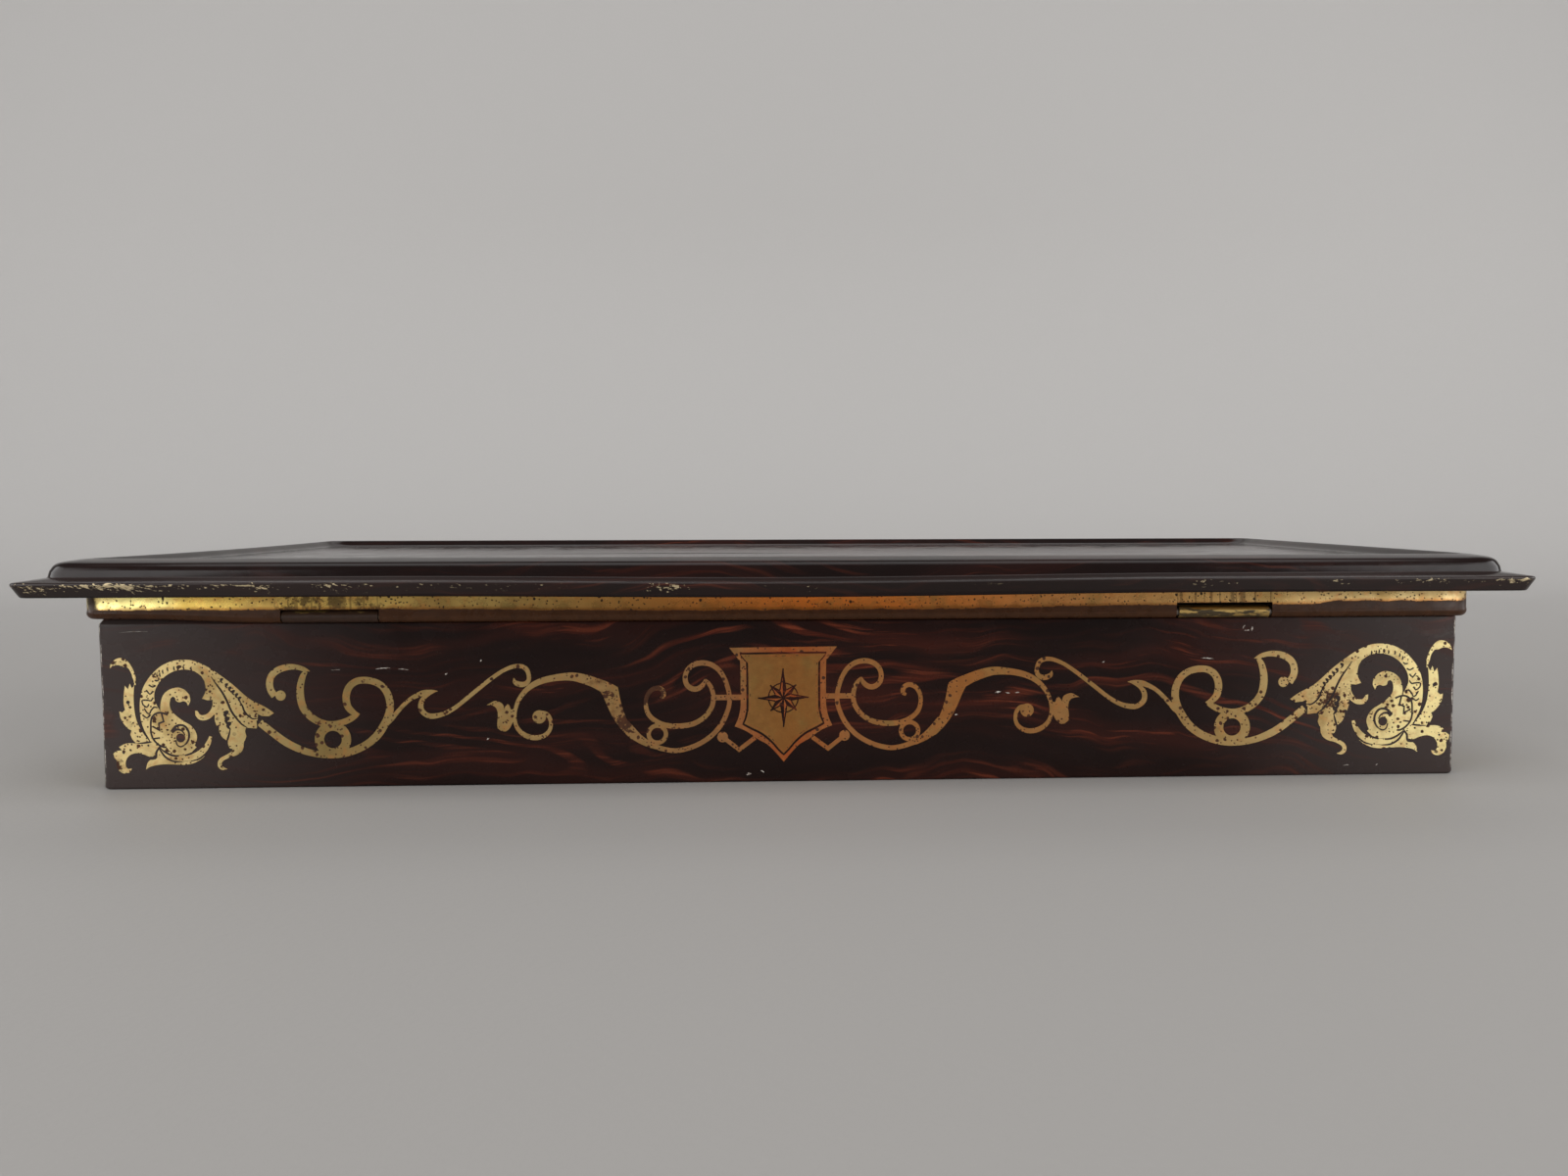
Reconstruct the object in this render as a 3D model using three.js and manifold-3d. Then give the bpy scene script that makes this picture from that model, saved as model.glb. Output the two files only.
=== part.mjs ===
// Antique biscuit tin of printed tinplate: a low oblong box with a wide moulded lid.
// Millimetres, +Z up. The origin is the middle of the footprint, on the surface that the tin stands on.
// X runs along the long sides. The back, with the two hinges, faces -Y and the front faces +Y.
import * as THREE from "three";
import { mergeVertices } from "three/addons/utils/BufferGeometryUtils.js";
import Module from "manifold-3d";

const wasm = await Module();
wasm.setup();

// Stock and clearances
const sheet = 0.3; // tinplate
const seatGap = 0.3; // between two pieces that touch
const seamGap = 0.15; // between the two halves of a wall or a skirt at their corner seam
const wireGap = 0.1; // round the rim wire, inside the bead and the knuckles
const overrun = 2; // how far a cutting block runs past what it cuts

// Body
const bodyLength = 250;
const bodyDepth = 117;
const wallHeight = 30; // from the table to the shoulder that the lid's bead sits on
const cornerRadius = 1.2; // in plan
const bottomFold = 3; // width of the wall's edge folded in under the bottom plate
const neckGap = 0.4; // between the neck and the lid's bead
const neckHem = 3; // depth of the neck's edge folded down inside
const neckClear = 1; // between the hinge leaves and the foot of that hem
const seamLap = 5; // strip of one wall half soldered behind the other at each seam corner

// Bottom plate
const plateRim = 2; // height of its turned-up edge

// Rim wire, and the bead that the foot of the lid's skirt makes round it
const wireDiameter = 1.4;
const beadProud = 0.1; // how far the bead swells past the skirt's face
const curlEnd = 115; // degrees round the wire where the curl stops, from straight out

// Lid
const skirtStandoff = 1.7; // the skirt's face stands this far outside the body's face
const skirtDepth = 5.2; // from the foot of the bead up to the underside of the folded edge
const overhang = 9.9; // the lid's edge stands this far outside the body's face
const edgeDrop = 2.6; // height of the folded edge
const edgeUndercut = 1.2; // how far the foot of the folded edge leans in
const hemReturn = 2.5; // width of the edge turned in under the skirt's flange
const flangeRise = 0.7; // the flat of the edge climbs this much up to the moulding
const flangeWidth = 3.7; // flat of the edge, from its rim to the moulding
const mouldingWidth = 4.6; // from the foot of the moulding to its crest
const mouldingRise = 3.2;
const coveWidth = 15.6; // shallow cove from the crest down to the panel
const panelRecess = 1.5; // panel below the crest
const edgeRadius = 2; // plan radius of the lid's outer corners
const mouldingRadius = 4; // plan radius of the moulding's corners

// Hinges
const knuckleLength = 16.9;
const knuckleGap = 0.25; // between a knuckle's end and the bead
const leftHingeInset = 41.8; // from the left end of the body in to the middle of the left knuckle
const rightHingeInset = 45.3; // and from the right end to the right one, which was soldered further in
const leafDrop = 11; // length of the leaf soldered inside the wall, below the shoulder
const slotGap = 0.3; // round the leaf where it passes through the neck
const knuckleStart = 200; // degrees round the wire where the knuckle's curl starts, from straight out
const knuckleEnd = 450; // and where it runs off as the leaf

// Facets
const cornerSteps = 5;
const wireSides = 14;
const curlSteps = 14;
const mergeTolerance = 1e-4;

// The moulding's section from its foot to its crest, as shares of its width and its rise
const mouldingShares = [[0.045, 0.34], [0.16, 0.66], [0.33, 0.83], [0.67, 0.93], [1, 1]];
const coveShares = [[0.16, 0.08], [0.5, 0.4], [0.84, 0.9], [1, 1]];

// Sizes and places that follow from those above. An offset is counted outwards from the body's face.
const beadRadius = wireDiameter / 2 + wireGap + sheet;
const beadOffset = skirtStandoff + beadProud - beadRadius;
const neckStep = beadRadius + neckGap - beadOffset;
const beadHeight = wallHeight + Math.SQRT2 * (beadRadius + seatGap) - beadOffset;
const hemHeight = beadHeight - beadRadius + skirtDepth;
const skirtFlangeHeight = hemHeight + sheet + seatGap;
const edgeHeight = hemHeight + edgeDrop;
const mouldingFoot = overhang - flangeWidth;
const crestOffset = mouldingFoot - mouldingWidth;
const crestHeight = edgeHeight + flangeRise + mouldingRise;
const leafTop = beadHeight + beadRadius;
const neckTop = leafTop + neckClear + neckHem;
const plateHeight = sheet + seatGap;
const plateOffset = -2 * (sheet + seatGap);

// Materials
const grainedTin = { color: 0x2b1b18, roughness: 0.3, metalness: 0.2 };
const giltTin = { color: 0xc79a3c, roughness: 0.35, metalness: 0.8 };
const bareTin = { color: 0xa9a49a, roughness: 0.4, metalness: 0.9 };
const ironWire = { color: 0x77706a, roughness: 0.5, metalness: 0.9 };

// Section points are {offset, height, radius}, the radius being that of the plan corners there
function point(offset, height, radius = cornerRadius + offset) {
  return { offset, height, radius: Math.max(radius, cornerRadius / 4) };
}

// A section point on a circle round the rim wire, at an angle from straight out
function roundWire(radius, angle) {
  return point(beadOffset + radius * Math.cos(angle), beadHeight + radius * Math.sin(angle));
}

// The face behind a sheet's face, one sheet's thickness to the left of the way the face runs
function backOf(face) {
  const normals = face.slice(1).map((q, i) => {
    const p = face[i];
    return new THREE.Vector2(p.height - q.height, q.offset - p.offset).normalize();
  });
  return face.map((p, i) => {
    const before = normals[Math.max(i - 1, 0)];
    const after = normals[Math.min(i, normals.length - 1)];
    const mitre = before.clone().add(after);
    mitre.multiplyScalar((2 * sheet) / mitre.lengthSq());
    return point(p.offset + mitre.x, p.height + mitre.y, p.radius + mitre.x);
  });
}

// Plan outline of the tin at a section point: an oblong with round corners, run anticlockwise
function outline({ offset, height, radius }) {
  const points = [];
  for (let corner = 0; corner < 4; corner++) {
    const signX = corner === 0 || corner === 3 ? 1 : -1;
    const signY = corner < 2 ? 1 : -1;
    for (let step = 0; step <= cornerSteps; step++) {
      const angle = ((corner + step / cornerSteps) * Math.PI) / 2;
      points.push(new THREE.Vector3(
        signX * (bodyLength / 2 + offset - radius) + radius * Math.cos(angle),
        signY * (bodyDepth / 2 + offset - radius) + radius * Math.sin(angle),
        height,
      ));
    }
  }
  return points;
}

// Joins outlines into one closed body: a hoop whose section closes on itself, or a capped dish
function loft(section, capped) {
  const rings = section.map(outline);
  const count = rings[0].length;
  const positions = rings.flat().flatMap((p) => p.toArray());
  const faces = [];
  const last = rings.length - 1;
  for (let i = 0; i < (capped ? last : rings.length); i++) {
    for (let j = 0; j < count; j++) {
      const next = (j + 1) % count;
      const above = ((i + 1) % rings.length) * count;
      faces.push(i * count + j, i * count + next, above + next);
      faces.push(i * count + j, above + next, above + j);
    }
  }
  if (capped) {
    const middle = rings.length * count;
    positions.push(0, 0, section[0].height, 0, 0, section[last].height);
    for (let j = 0; j < count; j++) {
      const next = (j + 1) % count;
      faces.push(middle, next, j);
      faces.push(middle + 1, last * count + j, last * count + next);
    }
  }
  const geometry = new THREE.BufferGeometry();
  geometry.setAttribute("position", new THREE.Float32BufferAttribute(positions, 3));
  geometry.setIndex(faces);
  return geometry;
}

function toSolid(geometry) {
  const bare = geometry.clone();
  bare.deleteAttribute("normal");
  bare.deleteAttribute("uv");
  const merged = mergeVertices(bare, mergeTolerance);
  return new wasm.Manifold(new wasm.Mesh({
    numProp: 3,
    vertProperties: merged.attributes.position.array,
    triVerts: new Uint32Array(merged.index.array),
  }));
}

function toGeometry(solid) {
  const { vertProperties, triVerts } = solid.getMesh();
  const geometry = new THREE.BufferGeometry();
  geometry.setAttribute("position", new THREE.BufferAttribute(vertProperties, 3));
  geometry.setIndex(new THREE.BufferAttribute(triVerts, 1));
  geometry.computeVertexNormals();
  return geometry;
}

// A block between two opposite corners
function block(corner, opposite) {
  const box = new THREE.Box3().setFromPoints([corner, opposite]);
  const size = box.getSize(new THREE.Vector3());
  const middle = box.getCenter(new THREE.Vector3());
  return toSolid(new THREE.BoxGeometry(size.x, size.y, size.z).translate(middle.x, middle.y, middle.z));
}

const tin = new THREE.Group();

function addPiece(parent, name, geometry, look) {
  const mesh = new THREE.Mesh(geometry, new THREE.MeshStandardMaterial(look));
  mesh.name = name;
  parent.add(mesh);
  return mesh;
}

// The two corners that hold the seams are joined by one diagonal of the plan.
// Everything on the back-right side of it is one half, everything on the front-left side the other.
function halfOf(solid, side) {
  const reach = 2 * (bodyLength + bodyDepth);
  const along = new THREE.Vector2(bodyLength, bodyDepth).normalize();
  const out = new THREE.Vector2(-along.y, along.x).multiplyScalar(side);
  const shape = new THREE.Shape([
    along.clone().multiplyScalar(-reach).addScaledVector(out, seamGap / 2),
    along.clone().multiplyScalar(reach).addScaledVector(out, seamGap / 2),
    along.clone().multiplyScalar(reach).addScaledVector(out, reach),
    along.clone().multiplyScalar(-reach).addScaledVector(out, reach),
  ]);
  const depth = crestHeight + 2 * overrun;
  const keep = new THREE.ExtrudeGeometry(shape, { depth, bevelEnabled: false }).translate(0, 0, -overrun);
  return solid.intersect(toSolid(keep));
}
const backRight = -1;
const frontLeft = 1;

const hingeSides = [["left", -1], ["right", 1]];
const hingeMiddle = (side) => side * (bodyLength / 2 - (side < 0 ? leftHingeInset : rightHingeInset));

// Body walls: an edge folded in at the foot, a shoulder, a neck and a hem at the top
const wallFace = [
  point(-bottomFold, 0),
  point(0, 0),
  point(0, wallHeight),
  point(-neckStep, wallHeight + neckStep),
  point(-neckStep, neckTop),
  point(-neckStep - 2 * sheet - seatGap, neckTop),
  point(-neckStep - 2 * sheet - seatGap, neckTop - neckHem),
];
let walls = toSolid(loft([...wallFace, ...backOf(wallFace).reverse()], false));
for (const [, side] of hingeSides) {
  const half = knuckleLength / 2 + slotGap;
  const wallY = -bodyDepth / 2 + neckStep;
  walls = walls.subtract(block(
    new THREE.Vector3(hingeMiddle(side) - half, wallY - overrun, leafTop - sheet - slotGap),
    new THREE.Vector3(hingeMiddle(side) + half, wallY + sheet + seatGap / 2, leafTop + slotGap),
  ));
}

// At each seam corner one half has a strip that turns the corner and laps behind the other half
function lapStrip(side) {
  const wallX = (side * bodyLength) / 2;
  const wallY = (side * bodyDepth) / 2;
  return block(
    new THREE.Vector3(wallX - (side * sheet) / 2, wallY - side * (sheet + seatGap), plateHeight),
    new THREE.Vector3(wallX - side * seamLap, wallY - side * (2 * sheet + seatGap), wallHeight - neckStep),
  );
}
addPiece(tin, "back_and_right_wall", toGeometry(halfOf(walls, backRight).add(lapStrip(1))), grainedTin);
addPiece(tin, "front_and_left_wall", toGeometry(halfOf(walls, frontLeft).add(lapStrip(-1))), grainedTin);

// Bottom plate: a shallow tray that lies on the folded edges inside the walls
const plateFace = [
  point(plateOffset - bottomFold, plateHeight),
  point(plateOffset, plateHeight),
  point(plateOffset, plateHeight + plateRim),
];
addPiece(tin, "bottom_plate", loft([...plateFace, ...backOf(plateFace).reverse()], true), bareTin);

// Hinge tabs: a knuckle rolled round the wire, and a leaf through the neck and down inside the wall
const leafSetback = 2 * sheet + seatGap; // from the wall's outer face to the leaf's inner face
const leafOffset = -neckStep - leafSetback;
const leafDip = leafSetback * Math.tan(Math.PI / 8); // its bends lie this much below the shoulder's
const tabFace = [];
for (let step = 0; step <= curlSteps; step++) {
  const turned = THREE.MathUtils.lerp(knuckleStart, knuckleEnd, step / curlSteps);
  tabFace.push(roundWire(beadRadius, THREE.MathUtils.degToRad(turned)));
}
tabFace.push(
  point(leafOffset, leafTop),
  point(leafOffset, wallHeight + neckStep - leafDip),
  point(leafOffset + neckStep, wallHeight - leafDip),
  point(leafOffset + neckStep, wallHeight - leafDrop),
);
const tabSection = [...tabFace, ...backOf(tabFace).reverse()];
const tabShape = new THREE.Shape(
  tabSection.map((p) => new THREE.Vector2(-bodyDepth / 2 - p.offset, p.height)),
);
for (const [word, side] of hingeSides) {
  const knuckle = new THREE.ExtrudeGeometry(tabShape, { depth: knuckleLength, bevelEnabled: false });
  const tab = addPiece(tin, "hinge_tab_" + word, knuckle, bareTin);
  tab.quaternion.setFromRotationMatrix(new THREE.Matrix4().makeBasis(
    new THREE.Vector3(0, 1, 0),
    new THREE.Vector3(0, 0, 1),
    new THREE.Vector3(1, 0, 0),
  ));
  tab.position.x = hingeMiddle(side) - knuckleLength / 2;
}

// Lid, which turns about the rim wire along the back
const lid = new THREE.Group();
tin.add(lid);

// Top: one pressing from the hem under the edge, over the moulding and the cove, to the panel
const topFace = [
  point(overhang - edgeUndercut - hemReturn, hemHeight, edgeRadius),
  point(overhang - edgeUndercut, hemHeight, edgeRadius),
  point(overhang, edgeHeight, edgeRadius),
  point(mouldingFoot, edgeHeight + flangeRise, mouldingRadius),
  ...mouldingShares.map(([across, up]) => point(
    mouldingFoot - across * mouldingWidth,
    edgeHeight + flangeRise + up * mouldingRise,
    mouldingRadius,
  )),
  ...coveShares.map(([across, down]) => point(
    crestOffset - across * coveWidth,
    crestHeight - down * panelRecess,
    mouldingRadius,
  )),
];
addPiece(lid, "lid_top", loft([...backOf(topFace).reverse(), ...topFace], true), grainedTin);

// Skirt: the foot curled round the wire, the gilt band, and a flange turned out into the hem
const skirtFace = [];
const bandStart = Math.acos((skirtStandoff - beadOffset) / beadRadius);
const curlStart = THREE.MathUtils.degToRad(curlEnd) - 2 * Math.PI;
for (let step = 0; step <= curlSteps; step++) {
  skirtFace.push(roundWire(beadRadius, THREE.MathUtils.lerp(curlStart, bandStart, step / curlSteps)));
}
skirtFace.push(
  point(skirtStandoff, skirtFlangeHeight),
  point(overhang - edgeUndercut - sheet - seatGap, skirtFlangeHeight, edgeRadius),
);
let skirt = toSolid(loft([...skirtFace, ...backOf(skirtFace).reverse()], false));
for (const [, side] of hingeSides) {
  const half = knuckleLength / 2 + knuckleGap;
  const bandY = -bodyDepth / 2 - skirtStandoff;
  skirt = skirt.subtract(block(
    new THREE.Vector3(hingeMiddle(side) - half, bandY - overrun, wallHeight - overrun),
    new THREE.Vector3(hingeMiddle(side) + half, bandY + 2 * beadRadius + overrun, leafTop + seatGap),
  ));
}
addPiece(lid, "lid_skirt_back_right", toGeometry(halfOf(skirt, backRight)), giltTin);
addPiece(lid, "lid_skirt_front_left", toGeometry(halfOf(skirt, frontLeft)), giltTin);

// Rim wire: one length bent round inside the bead, its ends butting in the middle of the front
const wireSection = [];
for (let side = 0; side < wireSides; side++) {
  wireSection.push(roundWire(wireDiameter / 2, (2 * Math.PI * side) / wireSides));
}
const wireY = bodyDepth / 2 + beadOffset;
const wire = toSolid(loft(wireSection, false)).subtract(block(
  new THREE.Vector3(-seatGap / 2, wireY - wireDiameter, beadHeight - wireDiameter),
  new THREE.Vector3(seatGap / 2, wireY + wireDiameter, beadHeight + wireDiameter),
));
addPiece(lid, "rim_wire", toGeometry(wire), ironWire);

export default tin;
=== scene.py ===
"""An antique biscuit tin of printed tinplate, seen from its hinge side with the lid closed.

The tin stands on a pale sweep of card under soft studio light. Sizes are written in millimetres and
multiplied by mm, one millimetre in Blender's metres. X runs along the long sides, the hinge side faces -Y,
and +Z is up.
"""
import itertools
import math
import random

import bpy
from mathutils import Matrix, Vector, geometry


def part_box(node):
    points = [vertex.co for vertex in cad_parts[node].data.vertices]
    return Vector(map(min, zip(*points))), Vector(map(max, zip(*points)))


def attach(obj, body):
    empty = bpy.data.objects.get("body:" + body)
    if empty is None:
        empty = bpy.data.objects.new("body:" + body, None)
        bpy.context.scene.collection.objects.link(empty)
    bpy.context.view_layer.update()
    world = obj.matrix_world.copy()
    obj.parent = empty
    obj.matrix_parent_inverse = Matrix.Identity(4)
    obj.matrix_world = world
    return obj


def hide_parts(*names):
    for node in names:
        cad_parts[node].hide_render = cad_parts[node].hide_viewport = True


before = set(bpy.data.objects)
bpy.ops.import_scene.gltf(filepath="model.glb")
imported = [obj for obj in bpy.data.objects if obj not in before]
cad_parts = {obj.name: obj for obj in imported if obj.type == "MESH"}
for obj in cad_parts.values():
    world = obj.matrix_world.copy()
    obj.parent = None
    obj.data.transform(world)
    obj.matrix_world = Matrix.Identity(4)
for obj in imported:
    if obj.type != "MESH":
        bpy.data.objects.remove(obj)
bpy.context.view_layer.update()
mm = 0.001

# Camera: a little above the lid, in front of the hinge side, where the photograph was taken. It is turned
# by a few degrees, and its lens is given in the photograph's pixels.
camera_place = Vector((0.386, -288.013, 50.669)) * mm
camera_turns = {"yaw": 2.653, "pitch": 3.754, "roll": -0.113}
picture_width, picture_height = 1600, 1200
lens_in_pixels = 1277.5
lens_centre = (871.4, 601.79)

yaw, pitch, roll = (math.radians(camera_turns[name]) for name in ("yaw", "pitch", "roll"))
ahead = Vector((math.sin(yaw) * math.cos(pitch), math.cos(yaw) * math.cos(pitch), -math.sin(pitch)))
level = Vector((math.cos(yaw), -math.sin(yaw), 0))
upright = level.cross(ahead)
camera_right = level * math.cos(roll) + upright * math.sin(roll)
camera_up = upright * math.cos(roll) - level * math.sin(roll)
camera_data = bpy.data.cameras.new("camera")
camera_data.lens = camera_data.sensor_width * lens_in_pixels / picture_width
camera_data.shift_x = (picture_width / 2 - lens_centre[0]) / picture_width
camera_data.shift_y = (lens_centre[1] - picture_height / 2) / picture_width
camera_data.clip_start = 10 * mm
camera = bpy.data.objects.new("camera", camera_data)
camera_frame = Matrix((camera_right, camera_up, -ahead)).transposed().to_4x4()
camera.matrix_world = Matrix.Translation(camera_place) @ camera_frame
bpy.context.scene.collection.objects.link(camera)
bpy.context.scene.camera = camera
bpy.context.scene.view_settings.view_transform = "Standard"

# Sweep: one sheet of pale grey card that lies under the tin and bends up behind it. It is matt with a faint
# fleck, and has painted shade that makes it darker on the floor than behind.
sweep_width, sweep_front, sweep_back = 6000 * mm, -2500 * mm, 620 * mm
sweep_height, sweep_bend, bend_steps = 2600 * mm, 260 * mm, 24
sweep_grey, shaded_floor_grey, fleck_grey = (0.47, 0.455, 0.44), (0.33, 0.315, 0.30), (0.30, 0.29, 0.28)
greys_from, greys_to = 60 * mm, 560 * mm


def add_node(tree, kind, inputs=(), **settings):
    """Adds a shader node and sets or links its inputs, by place or by name."""
    made = tree.nodes.new("ShaderNode" + kind)
    for name, value in settings.items():
        setattr(made, name, value)
    for slot, value in (inputs.items() if isinstance(inputs, dict) else enumerate(inputs)):
        if isinstance(value, bpy.types.NodeSocket):
            tree.links.new(value, made.inputs[slot])
        elif value is not None:
            made.inputs[slot].default_value = value
    return made


def new_material(name, **constants):
    """A material with one Principled shader, whose constant inputs are set on its own sockets."""
    made = bpy.data.materials.new(name)
    made.use_nodes = True
    shader = made.node_tree.nodes["Principled BSDF"]
    for slot, value in constants.items():
        shader.inputs[slot.replace("_", " ")].default_value = value
    return made, made.node_tree, shader


def sums(tree, operation, first, second=0.0, clamp=False):
    """One sum on numbers or sockets, by the name that the Math node has for it."""
    return add_node(tree, "Math", (first, second), operation=operation, use_clamp=clamp).outputs[0]


def times(tree, first, second, clamp=False):
    return sums(tree, "MULTIPLY", first, second, clamp)


def between(tree, value, low, high, start=0.0, end=1.0):
    """start where value is low or less, end where it is high or more, and smooth in between."""
    inputs = (value, low, high, start, end)
    return add_node(tree, "MapRange", inputs, interpolation_type="SMOOTHSTEP").outputs[0]


def grain(tree, vector, scale, detail=3.0, roughness=0.5, stretch=None):
    """Fractal noise about 1/scale wide, on a vector that can be stretched first."""
    if stretch:
        vector = add_node(tree, "VectorMath", (vector, stretch), operation="MULTIPLY").outputs[0]
    inputs = {"Vector": vector, "Scale": scale, "Detail": detail, "Roughness": roughness}
    return add_node(tree, "TexNoise", inputs).outputs[0]


def mixed(tree, share, first, second):
    """The colour that is first at share 0 and second at share 1."""
    made = add_node(tree, "Mix", {0: share}, data_type="RGBA", clamp_factor=True)
    for slot, value in ((6, first), (7, second)):
        if isinstance(value, bpy.types.NodeSocket):
            tree.links.new(value, made.inputs[slot])
        else:
            made.inputs[slot].default_value = (*value, 1)
    return made.outputs[2]


def bump(tree, shader, height, distance, strength=1.0):
    """Roughens a shader's surface by a height from 0 to 1, where 1 stands for this distance."""
    inputs = {"Height": height, "Distance": distance, "Strength": strength}
    tree.links.new(add_node(tree, "Bump", inputs).outputs[0], shader.inputs["Normal"])


def to_mesh(name, places, faces, materials=(), which=None):
    """A mesh object from points in metres, with a material index for each face."""
    mesh = bpy.data.meshes.new(name)
    mesh.from_pydata([tuple(p) for p in places], [], faces)
    for material in materials:
        mesh.materials.append(material)
    if which:
        mesh.polygons.foreach_set("material_index", which)
    mesh.update()
    made = bpy.data.objects.new(name, mesh)
    bpy.context.scene.collection.objects.link(made)
    return made


def flecked_card(name):
    """Matt card with painted shade, its grey going from the darker floor's to the background's behind the
    tin.
    """
    made, tree, shader = new_material(name, Roughness=0.62)
    place = add_node(tree, "TexCoord").outputs["Object"]
    fleck = grain(tree, place, 900, 2)
    # Painted shade: the floor's grey is darker than the background's, and goes over to it behind the tin.
    behind_tin = between(tree, add_node(tree, "SeparateXYZ", (place,)).outputs[1], greys_from, greys_to)
    grey = mixed(tree, behind_tin, shaded_floor_grey, sweep_grey)
    flecked = mixed(tree, times(tree, fleck, 0.12), grey, fleck_grey)
    tree.links.new(flecked, shader.inputs["Base Color"])
    bump(tree, shader, fleck, 0.1 * mm, 0.4)
    return made


sweep_path = [(sweep_front, 0), (sweep_back - sweep_bend, 0)]
for step in range(1, bend_steps):
    turn = step / bend_steps * math.pi / 2
    sweep_path.append((sweep_back - sweep_bend * (1 - math.sin(turn)), sweep_bend * (1 - math.cos(turn))))
sweep_path += [(sweep_back, sweep_bend), (sweep_back, sweep_height)]
sweep = to_mesh(
    "sweep",
    [(side * sweep_width / 2, y, z) for y, z in sweep_path for side in (-1, 1)],
    [(2 * i, 2 * i + 1, 2 * i + 3, 2 * i + 2) for i in range(len(sweep_path) - 1)],
    [flecked_card("sweep_card")],
)
for polygon in sweep.data.polygons:
    polygon.use_smooth = True

# Lamps: a wide soft box overhead, a wide panel on either side that greys the varnish towards the ends, a
# small panel far out at each front corner, and one behind. Places and sizes are in mm, power is in watts.
lamps = {
    "overhead": {"at": (0, -260, 900), "to": (0, -60, 0), "size": (1100, 560), "power": 3.6},
    "left_panel": {"at": (-760, -330, 330), "to": (0, 0, 40), "size": (1100, 560), "power": 5.6},
    "right_panel": {"at": (760, -330, 330), "to": (0, 0, 40), "size": (1100, 560), "power": 6.2},
    "left_front_panel": {"at": (-830, -1150, 170), "to": (0, 0, 20), "size": (450, 340), "power": 0.9},
    "back_panel": {"at": (0, 520, 640), "to": (0, 0, 30), "size": (1200, 300), "power": 0.8},
    "right_front_panel": {"at": (830, -1150, 170), "to": (0, 0, 20), "size": (450, 340), "power": 1.1},
}
for name, lamp in lamps.items():
    light = bpy.data.lights.new(name, "AREA")
    light.shape = "RECTANGLE"
    light.size, light.size_y = (length * mm for length in lamp["size"])
    light.energy = lamp["power"]
    soft_box = bpy.data.objects.new(name, light)
    soft_box.location = Vector(lamp["at"]) * mm
    aim = Vector(lamp["to"]) * mm - soft_box.location
    soft_box.rotation_euler = aim.to_track_quat("-Z", "Y").to_euler()
    bpy.context.scene.collection.objects.link(soft_box)
world = bpy.data.worlds.new("room")
world.use_nodes = True
room_light = world.node_tree.nodes["Background"].inputs
room_light["Color"].default_value = (0.93, 0.96, 1.0, 1)
room_light["Strength"].default_value = 0.19
bpy.context.scene.world = world

# Walls: two sheets of tinplate, each bent into one long side and one end, and joined at opposite corners.
# Each has its foot folded in under the bottom, a shoulder below the lid's bead, and a neck hemmed inwards.
# They are printed outside with dark wavy grain under clear varnish, and bare inside.
wall_boxes = [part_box(name) for name in ("back_and_right_wall", "front_and_left_wall")]
body_length = max(high.x for _, high in wall_boxes) - min(low.x for low, _ in wall_boxes)
body_depth = max(high.y for _, high in wall_boxes) - min(low.y for low, _ in wall_boxes)
neck_top = max(high.z for _, high in wall_boxes)
tinplate = 0.3 * mm
corner_radius = 1.2 * mm
wall_height = 30 * mm
neck_step = 0.8 * mm
foot_width, foot_fold, shoulder_fold = 3 * mm, 0.55 * mm, 0.5 * mm
hem_width, hem_depth, hem_radius = 0.9 * mm, 3 * mm, 0.44 * mm
seam_gap, lap_width, lap_bevel, lap_heights = 0.15 * mm, 5 * mm, 0.1 * mm, (0.6 * mm, 29.2 * mm)
corner_steps, side_pitch, fold_steps, wall_rows = 6, 5 * mm, 4, 6
wave_depth, wave_lengths = 0.09 * mm, (71 * mm, 29 * mm)


def half_plan(offset, radius, turned=False):
    """Half of the plan outline, anticlockwise from the middle of one seam corner to that of the other."""
    across = body_length / 2 + offset - radius
    deep = body_depth / 2 + offset - radius
    arcs = [
        ((-across, -deep), 1.25, 1.5, corner_steps // 2),
        ((across, -deep), 1.5, 2.0, corner_steps),
        ((across, deep), 2.0, 2.25, corner_steps // 2),
    ]
    sides = [round(body_length / side_pitch), round(body_depth / side_pitch)]
    points = []
    for (x, y), start, end, steps in arcs:
        bend = []
        for step in range(steps + 1):
            turn = math.pi * (start + (end - start) * step / steps)
            bend.append(Vector((x + radius * math.cos(turn), y + radius * math.sin(turn))))
        if points:
            count = sides.pop(0)
            points += [points[-1].lerp(bend[0], step / count) for step in range(1, count)]
        points += bend
    return [-p for p in points] if turned else points


def whole_plan(offset, radius):
    """The whole plan outline, anticlockwise."""
    return half_plan(offset, radius)[:-1] + half_plan(offset, radius, True)[:-1]


def folded(path, radii):
    """A section's path of (offset, height, plan radius), with the bends at some of its places rounded."""
    made = []
    for place, point in enumerate(path):
        if place not in radii:
            made.append(point)
            continue
        here, before, after = (Vector(path[i][:2]) for i in (place, place - 1, place + 1))
        towards, away = (before - here).normalized(), (after - here).normalized()
        half_angle = towards.angle(away) / 2
        reach = radii[place] / math.tan(half_angle)
        middle = here + (towards + away).normalized() * radii[place] / math.sin(half_angle)
        start, end = here + towards * reach - middle, here + away * reach - middle
        sweep_angle = start.angle_signed(end)
        for step in range(fold_steps + 1):
            turn = start.copy()
            turn.rotate(Matrix.Rotation(-sweep_angle * step / fold_steps, 2))
            made.append((*(middle + turn), point[2]))
    return made


def behind(face, thickness):
    """The back of a sheet whose face has this path: one thickness to the left of the way the face runs."""
    flat = [Vector(p[:2]) for p in face]
    normals = []
    for here, there in zip(flat, flat[1:]):
        run = (there - here).normalized()
        normals.append(Vector((-run.y, run.x)))
    made = []
    for place, point in enumerate(face):
        mitre = normals[max(place - 1, 0)] + normals[min(place, len(normals) - 1)]
        mitre *= 2 * thickness / mitre.length_squared
        made.append((point[0] + mitre.x, point[1] + mitre.y, point[2] + mitre.x))
    return made


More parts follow.
